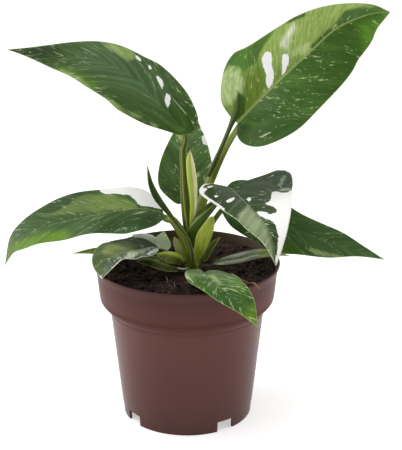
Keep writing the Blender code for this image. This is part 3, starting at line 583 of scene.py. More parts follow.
def blade(name, size, rib_points, face_base, face_tip, left, right, fold, curl, ground, light, cream=(), pale=(),
          dark=(), tints=(), lights=(), white_edge=(), flecks=0.4, calm=1.0, lean=0.6, rib_line=-0.6, wave=0.6,
          mat=leaf_skin, slot="leaf"):
    """One leaf, from the same midrib and margins as its solid, with its markings stored on its points."""
    # Each row runs out from the midrib to the margin; its columns stand closer by the midrib and at the edge.
    fan_rows, rib_rows, columns = size
    rib = Rib(rib_points, face_base, face_tip)
    halves = [half_rows(edge, rib.length, fan_rows, rib_rows) for edge in (left, right)]
    share = np.concatenate([(np.arange(1, columns) / columns) ** 1.6, [0.985, 1]])
    s = np.concatenate([share[::-1], [0], share])
    side = np.concatenate([-np.ones(len(share)), np.ones(len(share) + 1)])
    pick = np.where(side < 0, 0, 1)
    margin_y, margin_x, root, vein = (np.stack([halves[k][part] for k in pick], 1) for part in range(4))
    width = np.array([halves[k][4] for k in pick])
    y = root + (margin_y - root) * s ** 1.3
    out = margin_x * s
    vein = vein - lean * out * np.clip(root / 20, 0, 1)
    x = side * out

    # Each half is folded up from the midrib by its fold and curls on by curl degrees towards the margin.
    place, _, face, across = rib.at(y)
    folds = fold if isinstance(fold, tuple) else (fold, fold)
    bend, start = math.radians(curl), np.radians(np.array([folds[k] for k in pick], float))
    end = start + bend * out / width
    sideways = width / bend * (np.sin(end) - np.sin(start))
    up = width / bend * (np.cos(start) - np.cos(end))
    p = place + (side * sideways)[..., None] * across + up[..., None] * face
    normal = np.cross(np.gradient(p, axis=1), np.gradient(p, axis=0))
    long = np.linalg.norm(normal, axis=-1)[..., None]
    normal = np.where(long > 1e-6, normal / np.maximum(long, 1e-9), face)
    normal *= np.sign((normal * face).sum(-1) + 1e-9)[..., None]
    edge = margin_x * (1 - s)
    tip = np.clip(1 - y / rib.length, 0, 1)

    # It is quilted between its side veins and rippled towards its margin.
    between_veins = 0.5 - 0.5 * np.cos(2 * math.pi * vein / VEIN_PITCH)
    quilt = VEIN_QUILT * np.minimum(1, out / 4) * np.minimum(1, edge / 3) * between_veins
    swing = 2 * math.pi * (y / RIPPLE_LENGTH + 0.3 * side) + len(name)
    ripple = wave * s ** 2 * np.minimum(1, 4 * tip) * np.sin(swing)
    p = p + normal * (quilt + ripple)[..., None]

    # Its two faces, with a groove along the midrib above and the midrib's keel below, closed round the margin.
    thin = 0.5 * THICKNESS * (1 - MARGIN_THINNING * s ** 4)
    near_rib = np.exp(-(x / RIB_HALF_WIDTH) ** 2)
    over = p + normal * (thin - RIB_GROOVE * near_rib * tip)[..., None]
    below = p - normal * (thin + (RIB_GROOVE + RIB_KEEL * tip ** 0.7) * near_rib)[..., None]
    rows, wide = x.shape
    points = np.concatenate([over.reshape(-1, 3), below.reshape(-1, 3)])
    grid = np.arange(rows * wide).reshape(rows, wide)
    a, b, c, d = (q.ravel() for q in (grid[:-1, :-1], grid[:-1, 1:], grid[1:, 1:], grid[1:, :-1]))
    loop = np.concatenate([grid[0, :], grid[1:, -1], grid[-1, -2::-1], grid[-2:0:-1, 0]])
    beside, lower = np.roll(loop, -1), rows * wide
    faces = np.concatenate([np.stack([a, b, c, d], 1), lower + np.stack([d, c, b, a], 1),
                            np.stack([loop, loop + lower, beside + lower, beside], 1)])
    mesh = new_mesh(name, points, [], faces.tolist())

    # The markings: tints change the ground and lights the light tone inside soft outlines; cream, pale and dark
    # are fields of outlines, and a white edge is a strip along one margin.
    seed = sum(ord(letter) for letter in name) % 50
    tone, light_tone = (np.array(np.broadcast_to(linear(plain), (*x.shape, 4))) for plain in (ground, light))
    for field, changes in ((tone, tints), (light_tone, lights)):
        for outline, colour, softness in changes:
            part = np.clip(0.5 + inside_by(x, y, outline) / softness, 0, 1)
            part = (part * part * (3 - 2 * part))[..., None]
            field += (np.array(linear(colour)) - field) * part
    white = patches(x, y, cream)
    for hand, start_y, end_y, wide_mm in white_edge:
        part = np.clip(np.minimum(y - start_y, end_y - y) / 4, -4, 1) * np.where(side == hand, 1, -9)
        white = np.maximum(white, np.minimum(1, part) * wide_mm - edge)
    stored = {"cream": white, "pale": patches(x, y, pale), "dark": patches(x, y, dark),
              "rib_mm": rib_line * (0.35 + 0.75 * tip ** 0.8) - out, "edge_mm": edge,
              "flecks": flecks * (calm + (1 - calm) * np.exp(-(edge / 9) ** 2))}
    for label, values in stored.items():
        store(mesh, label, "FLOAT", np.tile(values.ravel(), 2))
    store(mesh, "under", "FLOAT", np.repeat([0.0, 1.0], rows * wide))
    apart = np.full(x.shape, LEAF_APART * seed)
    store(mesh, "vein_mm", "FLOAT_VECTOR", np.tile(np.stack([x, vein, apart], -1).ravel(), 2))
    for label, values in (("ground", tone), ("light", light_tone)):
        store(mesh, label, "FLOAT_COLOR", np.tile(values.ravel(), 2))
    leaf = show(name, mesh, mat)
    leaf_ribs[name] = rib
    tidy_mesh(leaf)
    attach(leaf, "root")
    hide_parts(name)


def scaled(shape, length, width, right_width=None):
    """The left and right margins of a plain leaf, at their real length and half widths."""
    return [[(a * length, b * half) for a, b in shape] for half in (width, right_width or width)]


# Each leaf gives its midrib, the way its face looks at the base and at the tip, its left and right margins as
# points along and out from the midrib, its fold and curl in degrees, and its two greens. Its markings are
# outlines of points across and along it; across is negative on its left half.
blade("leaf_upper_left", LARGE,
      [(1, 5, 187), (-13, 9, 201), (-33, 15, 221), (-58, 22, 231), (-86, 27, 233), (-113, 30, 236)],
      (0.3, -0.7, 0.7), (0.1, -0.6, 0.8),
      [(0, 0), (3, 6), (18, 16), (29, 22), (42, 27), (57, 26), (78, 22), (93, 16), (110, 8), (133, 0)],
      [(0, 0), (-1, 8), (5, 15), (17, 19.6), (29, 20.7), (43, 20.3), (54, 17), (77, 15), (105, 8), (133, 0)],
      10, -14, "#445f30", "#93ab62", flecks=0.64, calm=0.2, lean=2.0, rib_line=0.1,
      cream=[[(8, 32), (9, 36), (11, 40), (12.5, 40), (12.5, 36), (11, 33.5)],
             [(2.5, 20.5), (4, 25), (7, 28), (9, 28.5), (9, 25), (6, 22)],
             [(12, 52), (12.5, 55), (14.5, 57), (15, 54), (14, 52)],
             [(11.2, 45), (12.6, 47), (14.6, 47.4), (13.6, 45.4)]],
      pale=[[(8, 58), (9, 66), (11, 73), (14.5, 76), (16, 70), (16, 62), (15, 57), (11, 56)],
            [(-25, 66), (-22, 72), (-17, 84), (-13, 96), (-16, 95), (-22, 80), (-27, 68)],
            [(-22, 22), (-24, 40), (-25, 56), (-30, 58), (-30, 40), (-24, 20)],
            [(-22, 35), (-19, 31), (-17, 27), (-18.5, 27), (-22, 31)],
            [(-15, 20), (-12, 17), (-12.5, 15.5), (-16, 18.5)]],
      # The first tint, a greyish patch in the middle, is a painted sheen where the blade faces the light.
      tints=[([(-3, 26), (16, 30), (14, 72), (4, 88), (-10, 84), (-14, 50)], "#4f6a44", 16),
             ([(-30, 60), (-18, 68), (-12, 92), (-6, 108), (-20, 110)], "#557a26", 8),
             ([(-12, 104), (12, 98), (6, 136), (-6, 136)], "#2b421d", 18),
             ([(-20, -4), (20, -4), (16, 14), (-16, 16)], "#3c5a22", 12)])

blade("leaf_upper_right", LARGE,
      [(32, 5, 194), (53, -3, 219), (75, -9, 242), (90, -10, 256), (108, -9, 264), (123, -4, 265)],
      (-0.7, -0.6, 0.4), (0.3, -0.9, -0.1),
      [(0, 0), (-1, 9), (1, 20), (14, 31), (27, 33), (41, 28), (64, 24), (76, 22), (91, 15), (108, 7), (122, 0)],
      [(0, 0), (-3, 9.5), (1, 22), (12, 32.7), (30, 36), (51, 32.3), (78, 26), (100, 18.5), (114, 7.5), (122, 0)],
      20, -14, "#426526", "#7d9a44", rib_line=1.1,
      cream=[[(-10, 52), (-9, 55), (-6, 54), (-3, 50), (-1, 46), (-1, 43), (-4, 46), (-8, 50)],
             [(-18, 43), (-18, 47), (-15, 48), (-10, 43), (-5, 40), (-1, 35), (-1, 31), (-4, 32), (-8, 36),
              (-13, 38), (-17, 41)]],
      pale=[[(0, -4), (-35, -10), (-40, 60), (-26, 80), (-17, 100), (-8, 112), (0, 106)]],
      dark=[[(-33, 17), (-36, 26), (-33, 34), (-29, 48), (-26, 63), (-24, 58), (-22, 49), (-20.5, 43), (-17.5, 37),
             (-19, 30), (-19.5, 25.5), (-25, 25.5), (-28.5, 22)], [(-2.4, 68), (-0.6, 68), (0, 84), (-3, 86)],
            [(-14, 14), (-7.5, 15.5), (-1, 8), (0, 1), (-8.5, 6)],
            [(0, 83), (-3, 87), (-6, 92), (-8, 95), (-7, 101), (-6, 106), (-3, 110), (0, 113)],
            [(-27, 62), (-25, 62), (-19, 78), (-20.5, 80)]],
      tints=[([(4, -4), (36, 0), (36, 36), (14, 30)], "#3a5a20", 12),
             ([(4, 100), (22, 96), (10, 122), (0, 122)], "#5d8a2c", 10),
             ([(-38, 12), (-36, 66), (-18, 62), (-17, 24)], "#5f8838", 6),
             ([(0, 78), (-12, 88), (-8, 122), (0, 124)], "#557a38", 8)],
      lights=[([(-36, 44), (-36, 84), (-20, 102), (-3, 108), (-3, 62), (-8, 42), (-22, 40)], "#a3bb62", 14),
              ([(-15, 55), (-18, 62), (-20, 72), (-17, 70), (-14, 62), (-11, 56)], "#eef4d4", 4),
              ([(-8, 57), (-7, 66), (-4, 70), (-1, 68), (-1, 62), (-4, 60), (-5, 56)], "#b9cc84", 3),
              ([(-18.5, 24), (-13.5, 37), (-1, 29), (-1, 16), (-2, 8), (-11, 17)], "#6b842e", 4),
              ([(-20, -8), (-32, 6), (-29, 20), (-27, 24), (-25, 19), (-23, 27), (-20, 22), (-17, 23), (-12, 17),
                (-12, 4)], "#b4c98a", 3)])

blade("leaf_back", MIDDLE,
      [(1, 36, 134), (1, 43, 152), (2, 52, 167), (2, 62, 179), (1, 73, 190)], (0, -0.8, 0.6), (0, -0.6, 0.8),
      [(0, 0), (-3.5, 6.5), (0.5, 13), (8.5, 19.5), (19, 20), (36, 15.5), (55, 7), (70, 0)],
      [(0, 0), (-3, 6), (1, 12), (9, 17), (20, 17), (36, 13), (55, 6), (70, 0)],
      14, -10, "#557340", "#b6cc86", flecks=0.52, rib_line=0.1,
      pale=[[(-10, 45), (-4, 44), (-5, 40), (-8, 38.5), (-9, 41)]],
      cream=[[(14, 36), (9, 37), (8, 42), (10, 44), (7, 48), (8, 52), (12, 50)]])

blade("leaf_left", LARGE,
      [(-15, 10, 133), (-30, 14, 135), (-52, 20, 130), (-72, 26, 124), (-90, 31, 118), (-104, 34, 112),
       (-117, 37, 103), (-124, 40, 86)], (0.2, -0.4, 0.9), (-0.8, -0.4, 0.4),
      [(0, 0), (-2, 6), (1, 16), (9, 23.5), (20, 24.2), (34, 20.7), (54, 17), (75, 16), (102, 12), (119, 7),
       (131, 0)],
      [(0, 0), (3, 6), (9, 11), (18, 17), (32, 21), (54, 22), (76, 21), (93, 15.2), (108, 9), (121, 3.5), (131, 0)],
      8, -10, "#456034", "#6c8246", lean=1.5, rib_line=0.35,
      cream=[[(2, 16), (4, 18), (8, 21), (12, 25), (14, 30), (16, 37), (17, 43), (20, 47), (23, 49), (24, 30),
              (18, 13), (10, 6), (3, 1), (2, 10)]],
      pale=[[(0, 18), (4, 20), (7, 24), (12, 28), (15, 38), (17, 48), (19, 56), (17, 62), (16, 70), (13, 74),
             (10, 75), (9, 80), (9, 88), (7, 80), (6, 72), (5, 60), (3, 52), (2, 45), (1, 35), (0, 25)]],
      dark=[[(10, 76), (13, 68), (21, 58), (22, 66), (19, 80), (12, 90)]],
      tints=[([(-8, 70), (-18, 60), (-16, 100), (-8, 124), (0, 131), (-3, 110)], "#638a24", 8),
             ([(-24, -4), (-4, 2), (-2, 30), (-10, 46), (-24, 44)], "#2f4c20", 16),
             ([(-10, 112), (-10, 134), (10, 134), (10, 112)], "#4c6820", 10)],
      lights=[([(0, 12), (16, 12), (22, 50), (12, 54), (0, 40)], "#7b904a", 10),
              ([(3, 18), (8, 26), (11, 33), (16, 36), (18, 30), (12, 22), (6, 18)], "#5d7c34", 3)])

blade("leaf_front_right", LARGE,
      [(28, 10, 150), (35, -12, 149), (41, -32, 148), (46, -50, 147), (49, -62, 144), (51, -69, 137),
       (52, -73, 128)], (0, -0.1, 1), (-0.2, -0.9, 0.5),
      [(0, 0), (-3.2, 9.5), (-5.8, 20), (-8.3, 30.5), (-10.4, 39), (3, 41), (24, 34), (42, 27), (68, 16), (84, 6),
       (95, 0)],
      [(0, 0), (-5, 6), (-3, 15), (5, 22), (18, 27), (32, 20), (50, 15), (67, 12), (80, 6), (95, 0)],
      (6, 16), 0.5, "#30461f", "#9bab82", flecks=0.35, lean=0.9, rib_line=0.35,
      white_edge=[(1, -6, 40, 2.0), (1, 34, 94, 0.25)],
      cream=[[(-27, 43), (-24, 41), (-21.5, 35), (-20.5, 29), (-18.5, 27.5), (-17, 31), (-15.5, 34), (-14, 38),
              (-12, 41), (-8.5, 41), (-9.5, 46), (-11, 51), (-11, 58), (-9.5, 60), (-8, 58.5), (-6, 58), (-5, 53),
              (-3.5, 49), (-1.5, 46), (-0.7, 48), (-0.7, 54), (-2, 60), (-4, 64), (-5, 70), (-4.5, 78), (-2.5, 84),
              (-1.5, 88), (-2.5, 91), (-7, 86), (-17, 72), (-26, 58)],
             [(4, 19), (6, 24), (10, 28), (12.5, 29), (12, 26), (8, 22)],
             [(15, 19), (17, 22), (18.5, 22), (18, 19), (16, 18)],
             [(-5, 24), (-4, 28), (-2, 29), (-2, 25), (-4, 23)],
             [(12, 0.5), (16, 3), (19, 7), (16.5, 6.5), (13, 3)],
             [(19, 9), (22, 13), (25.5, 18), (28, 20), (27, 14), (22, 7)]],
      pale=[[(-27, 42), (-22, 30), (-25, 28), (-29, 36)], [(-37, 4), (-34, 6), (-26, 20), (-28, 21)]],
      # The second tint, a greyish band beside the midrib, is partly the leaf's own paler tissue and partly a painted
      # sheen.
      tints=[([(-24, -8), (-23, 40), (-44, 46), (-44, -8)], "#183808", 10),
             ([(0.6, 34), (5, 41), (11, 47), (14, 56), (11, 72), (6, 84), (1, 92), (0.6, 60)], "#8e9d76", 3.5),
             ([(15, 56), (22, 50), (10, 96), (4, 96), (8, 80)], "#4c6c30", 4)])

blade("leaf_right", LARGE,
      [(28, 28, 135), (50, 22, 128), (74, 14, 119), (99, 2, 113), (126, -10, 108)], (-0.2, -0.6, 0.7),
      (0.2, -0.6, 0.8),
      [(0, 0), (-5, 7), (-3, 14), (5, 19), (17, 19), (40, 12.5), (61, 11.7), (77, 9.7), (94, 5), (109, 0)],
      [(0, 0), (-3, 6), (1, 12), (10, 18), (26, 21), (42, 22), (59, 17.5), (75, 12.5), (92, 5), (109, 0)],
      10, -20, "#446332", "#9bb070", flecks=0.3, lean=1.8, rib_line=0.15,
      pale=[[(7.5, 88), (8.5, 80), (9.5, 70), (10, 63), (12, 63), (13, 68), (11, 76), (9.5, 84)]],
      tints=[([(12, 40), (24, 40), (22, 66), (14, 66)], "#4b6f28", 6)])

blade("leaf_over_rim_left", MIDDLE,
      [(-20, 12, 110), (-30, 4, 111), (-41, -7, 113), (-50, -19, 112), (-53, -32, 104)], (-0.2, -0.3, 0.9),
      (-0.5, -0.8, 0.4),
      [(0, 0), (2, 6), (10, 12), (22, 16), (36, 16), (49, 11), (59, 0)],
      [(0, 0), (2, 6), (10, 12), (21, 13), (36, 13), (49, 8), (59, 0)],
      12, -8, "#495a42", "#c0caa8", flecks=0.35, white_edge=[(-1, 2, 56, 0.6)],
      cream=[[(-6, 1), (-10, 8), (-13, 17), (-12, 19), (-8, 12), (-5, 4)]],
      pale=[[(1, 19), (4, 17), (8, 22), (9, 30), (8, 38), (4, 41), (2, 36), (3, 30), (0, 27)],
            [(-2, 2), (-1, 14), (-3, 22), (-5, 30), (-9, 36), (-13, 44), (-15, 42), (-14, 34), (-11, 26), (-8, 18),
             (-5, 10)]],
      lights=[([(-3, 12), (12, 12), (12, 46), (-2, 46)], "#93a162", 4)],
      tints=[([(-3, 20), (3, 14), (9, 20), (10, 34), (6, 42), (-2, 42)], "#7d8c56", 9),
             ([(6, 40), (14, 36), (12, 56), (0, 62), (-4, 54)], "#5a6c40", 8)])

blade("leaf_over_rim_front", MIDDLE,
      [(11, -14, 101), (16, -37, 104.6), (23, -60, 106.3), (32, -69, 99.8), (42, -73, 89)], (0.1, -0.3, 0.9),
      (0.1, -0.8, 0.6),
      [(0, 0), (-5, 5), (0, 12), (18, 15), (34, 15), (50, 13), (64, 9), (77, 0)],
      [(0, 0), (-6, 6), (2, 13), (18, 15), (33, 14), (46, 10), (61, 4), (77, 0)],
      9, -12, "#40652a", "#a9c27a", flecks=0.68, lean=1.6, rib_line=0.1,
      tints=[([(-20, -8), (20, -8), (16, 16), (-16, 16)], "#657c50", 10),
             ([(-8, 66), (8, 66), (2, 78), (-2, 78)], "#6c9030", 8),
             ([(-16, 20), (-6, 20), (-5, 60), (-16, 60)], "#4e7a2c", 8)],
      pale=[[(-2.5, 10), (-1, 10), (-0.6, 22), (-1.2, 34), (-2.6, 34), (-3, 22)]])

blade("leaf_narrow_right", SMALL,
      [(17, 2, 101), (32, 0, 105), (49, -1, 109), (66, -2, 108)], (-0.1, -0.6, 0.8), (-0.1, -0.5, 0.9),
      *scaled(LANCE, 50, 4), 13, -11, "#6b7957", "#e3e8d8", flecks=0.2, lean=4.0, wave=0.1,
      pale=[[(0, 1), (2.5, 4), (3, 16), (1.6, 30), (0.6, 30), (1.4, 16), (0.6, 8)],
            [(-2.6, 6), (-3.6, 20), (-2.4, 32), (-1.4, 20)]],
      tints=[([(-5, 30), (5, 30), (3, 52), (-3, 52)], "#a3b062", 8)])

blade("leaf_silver", SMALL,
      [(-21, 30, 103.8), (-28.5, 33, 107), (-37, 35, 109.5)], (0.1, -0.6, 0.8), (-0.2, -0.6, 0.8),
      *scaled(HEART, 18, 6, 5), 10, -12, "#dfe5dc", "#f6f8f2", flecks=0.7, white_edge=[(1, -2, 18, 1.0)], lean=2.0,
      wave=0.1)

blade("leaf_pale", SMALL,
      [(-17.3, 24, 102.4), (-16.6, 29, 107), (-15.2, 34, 112.3)], (0, -0.8, 0.6), (0, -0.9, 0.4),
      *scaled(HEART, 15, 6.3), 14, -10, "#dcebc6", "#ffffff", flecks=0.3, rib_line=0.9, wave=0.1)

blade("leaf_far_left", SMALL,
      [(-16, 14, 99), (-36, 15, 102), (-56, 13, 105.8), (-75, 11, 105.3)], (0, -0.5, 0.9), (0, -0.5, 0.9),
      *scaled(LANCE, 60, 4), 12, -10, "#7f8c4a", "#b5bd80", flecks=0.4, wave=0.1)

blade("leaf_arched", SMALL,
      [(-1.6, 2, 102.6), (-6.8, 0.2, 106.6), (-14, -0.5, 108.2), (-20.3, -0.5, 108.7)], (-0.3, -0.6, 0.8),
      (-0.4, -0.5, 0.8),
      *scaled(LANCE, 22, 5.2, 4.6), -8, -30, "#c6da4c", "#dfe8a0", flecks=0.0, wave=0.1,
      # The tint darkens the lower half of the folded blade, turned from the light: painted shade.
      tints=[([(-7, -3), (-0.4, -3), (0.6, 14), (-1.4, 24), (-7, 24)], "#5c6828", 3)])

blade("leaf_low_dark", SMALL,
      [(-5, -2, 98), (-14, -5, 101), (-24, -5, 104), (-33, -3, 105)], (0, -0.5, 0.9), (0, -0.5, 0.9),
      *scaled(LANCE, 30, 3.4), 12, -10, "#454f22", "#8a9060", flecks=0.0, wave=0.1,
      tints=[([(1.5, 0), (4, 0), (4, 30), (1.5, 30)], "#6c7a34", 1.5)])

blade("leaf_pointed", MIDDLE,
      [(3.7, -2.6, 103), (2.8, -3.5, 112), (-0.6, -3.6, 121.5), (-5.7, -2.7, 128.5), (-10.4, -1.6, 134.5),
       (-17, -0.8, 142.5), (-21.5, -0.6, 149), (-24, -0.3, 157), (-24.6, 1, 167.5)], (0.4, -0.9, 0.2),
      (0.8, -0.6, 0.2),
      *scaled(POINTED, 75, 3.6), 36, 10, "#3c4e20", "#7f8a44", flecks=0.0, wave=0.0,
      tints=[([(-9, -9), (9, -9), (9, 36), (-9, 36)], "#5b6424", 20)])

# ---------------------------------------------------------------- stalks
# The crown and the leaf stalks, all one growth: firm, juicy, olive to bright green. Each stalk sheathes the
# next at the crown, has a shallow groove with two pale ridges on its upper side, and runs on as the midrib.

# A thread of points carries each stalk's size, the side that its groove faces and its colours; the tree
# draws a grooved section along it. The same tree rolls the young leaves, whose section overlaps itself.
stalk_tree, given, made = new_tree("grooved_stalk", Sides=28, Groove_depth=0.12, Groove_width=0.5, Overlap=0.0)
tree = stalk_tree
threads = add(tree, "GeometryNodeMeshToCurve", {"Mesh": given["Geometry"]})
lean = add(tree, "GeometryNodeInputNamedAttribute", {"Name": "lean"}, data_type="FLOAT_VECTOR")
faced = add(tree, "GeometryNodeSetCurveNormal", {"Curve": threads, "Normal": lean}, mode="FREE")
ring = add(tree, "GeometryNodeCurvePrimitiveCircle", {"Resolution": given["Sides"], "Radius": 1.0})
number = add(tree, "GeometryNodeInputIndex")
share = add(tree, "Math", {0: number, 1: given["Sides"]}, operation="DIVIDE")
full = add(tree, "Math", {0: share, 1: 2 * math.pi}, operation="MULTIPLY")
around = add(tree, "Math", {0: full, 1: -math.pi, 2: math.pi}, operation="WRAP")
narrow = add(tree, "Math", {0: around, 1: given["Groove width"]}, operation="DIVIDE")
squared = add(tree, "Math", {0: narrow, 1: narrow}, operation="MULTIPLY")
minus = add(tree, "Math", {0: squared, 1: -1.0}, operation="MULTIPLY")
bell = add(tree, "Math", {0: minus}, operation="EXPONENT")
dip = add(tree, "Math", {0: bell, 1: given["Groove depth"]}, operation="MULTIPLY")
roll = add(tree, "Math", {0: around, 1: 2 * math.pi}, operation="DIVIDE")
lap = add(tree, "Math", {0: roll, 1: given["Overlap"], 2: 1.0}, operation="MULTIPLY_ADD")
reach = add(tree, "Math", {0: lap, 1: dip}, operation="SUBTRACT")
spot = add(tree, "GeometryNodeInputPosition")
drawn = add(tree, "VectorMath", {0: spot, "Scale": reach}, operation="SCALE")
shaped = add(tree, "GeometryNodeSetPosition", {"Geometry": ring, "Position": drawn})
marked = add(tree, "GeometryNodeStoreNamedAttribute",
             {"Geometry": shaped, "Name": "around", "Value": around}, data_type="FLOAT", domain="POINT")
size = add(tree, "GeometryNodeInputNamedAttribute", {"Name": "radius"}, data_type="FLOAT")
swept = add(tree, "GeometryNodeCurveToMesh",
            {"Curve": faced, "Profile Curve": marked, "Scale": size, "Fill Caps": True})
loose = add(tree, "GeometryNodeRealizeInstances", {"Geometry": swept})
stalk_finish = add(tree, "GeometryNodeSetMaterial", {"Geometry": loose})
feed(made, {0: stalk_finish})

THINNEST = 0.2
STALK_APART = 37.0       # the step in the noise from one stalk to the next


def stalks(name, runs, mat, replaced, slot, step=1.2, **inputs):
    """Stalks drawn along threads. A run is its route, the radii along it, the side that its groove faces, and
    the colours of its skin at the foot, its skin at the end and its ridges."""
    points, edges, stored = [], [], {"radius": [], "lean": [], "along_mm": [], "skin": [], "ridge": []}
    for route, radii, facing, foot_tone, end_tone, ridge_tone in runs:
        length = sum(math.dist(a, b) for a, b in zip(route, route[1:]))
        count = max(8, int(length / step))
        path = smooth([(*p, r) for p, r in zip(route, radii)], count)
        ahead = np.gradient(path[:, :3], axis=0)
        ahead /= np.linalg.norm(ahead, axis=1)[:, None]
        facing = np.array(facing, float)
        side = facing - ahead * (ahead @ facing)[:, None]
        side /= np.linalg.norm(side, axis=1)[:, None]
        walked = np.concatenate([[0], np.cumsum(np.linalg.norm(np.diff(path[:, :3], axis=0), axis=1))])
        mix = (walked / walked[-1])[:, None] ** 0.8
        first = len(points)
        points += path[:, :3].tolist()
        edges += [(first + k, first + k + 1) for k in range(count - 1)]
        stored["radius"].append(np.maximum(path[:, 3], THINNEST) * MM)
        stored["lean"].append(side)
        stored["along_mm"].append(walked + STALK_APART * len(stored["radius"]))
        stored["skin"].append((1 - mix) * np.array(linear(foot_tone)) + mix * np.array(linear(end_tone)))
        stored["ridge"].append(np.broadcast_to(linear(ridge_tone), (count, 4)))
    mesh = new_mesh(name, points, edges)
    for label, kind in (("radius", "FLOAT"), ("lean", "FLOAT_VECTOR"), ("along_mm", "FLOAT"),
                        ("skin", "FLOAT_COLOR"), ("ridge", "FLOAT_COLOR")):
        store(mesh, label, kind, np.concatenate(stored[label]).astype(np.float32).ravel())
    feed(stalk_finish, {"Material": mat})
    piece = grown(name, mesh, stalk_tree, **inputs)
    tidy_mesh(piece, sharp=60)
    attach(piece, "root")
    for node in replaced:
        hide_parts(node)


# Stalk skin: smooth, juicy and half glossy, with faint streaks along it about 1 mm wide, painted shade inside
# the groove, and pale on its two ridges.
stalk_skin, tree, shader = new_material("leaf_stalk_skin")
skin, ridge = (add(tree, "Attribute", attribute_name=label).outputs["Color"] for label in ("skin", "ridge"))
around, along = (add(tree, "Attribute", attribute_name=label).outputs["Fac"] for label in ("around", "along_mm"))
slow_along = add(tree, "Math", {0: along, 1: 0.05}, operation="MULTIPLY")
lengthwise = add(tree, "CombineXYZ", {0: around, 1: slow_along})
streaks = add(tree, "TexNoise", {"Vector": lengthwise, "Scale": 3.0, "Detail": 4.0, "Roughness": 0.6})
level = add(tree, "MapRange", {0: streaks, 1: 0.3, 2: 0.7, 3: 0.7, 4: 1.3})
body = add(tree, "VectorMath", {0: skin, "Scale": level}, operation="SCALE")
turned_off = add(tree, "Math", {0: around}, operation="ABSOLUTE")
painted_groove_shade = add(tree, "MapRange", {0: turned_off, 1: 0.5, 2: 0.1, 4: 0.3}, interpolation_type="SMOOTHSTEP")
shadow = add(tree, "VectorMath", {0: body, "Scale": 0.45}, operation="SCALE")
colour = add(tree, "Mix", {0: painted_groove_shade, 6: body, 7: shadow}, data_type="RGBA")
from_ridge = add(tree, "Math", {0: turned_off, 1: 0.85}, operation="SUBTRACT")
off_ridge = add(tree, "Math", {0: from_ridge}, operation="ABSOLUTE")
line = add(tree, "MapRange", {0: off_ridge, 1: 0.22, 2: 0.04, 4: 0.5}, interpolation_type="SMOOTHSTEP")
colour = add(tree, "Mix", {0: line, 6: colour, 7: ridge}, data_type="RGBA")
feed(shader, {"Base Color": colour, "Roughness": 0.4, "Specular IOR Level": 0.3, "IOR": 1.42})

LOW_START, HIGH_START = (*CROWN, 95), (*CROWN, 96)       # where a stalk leaves the crown

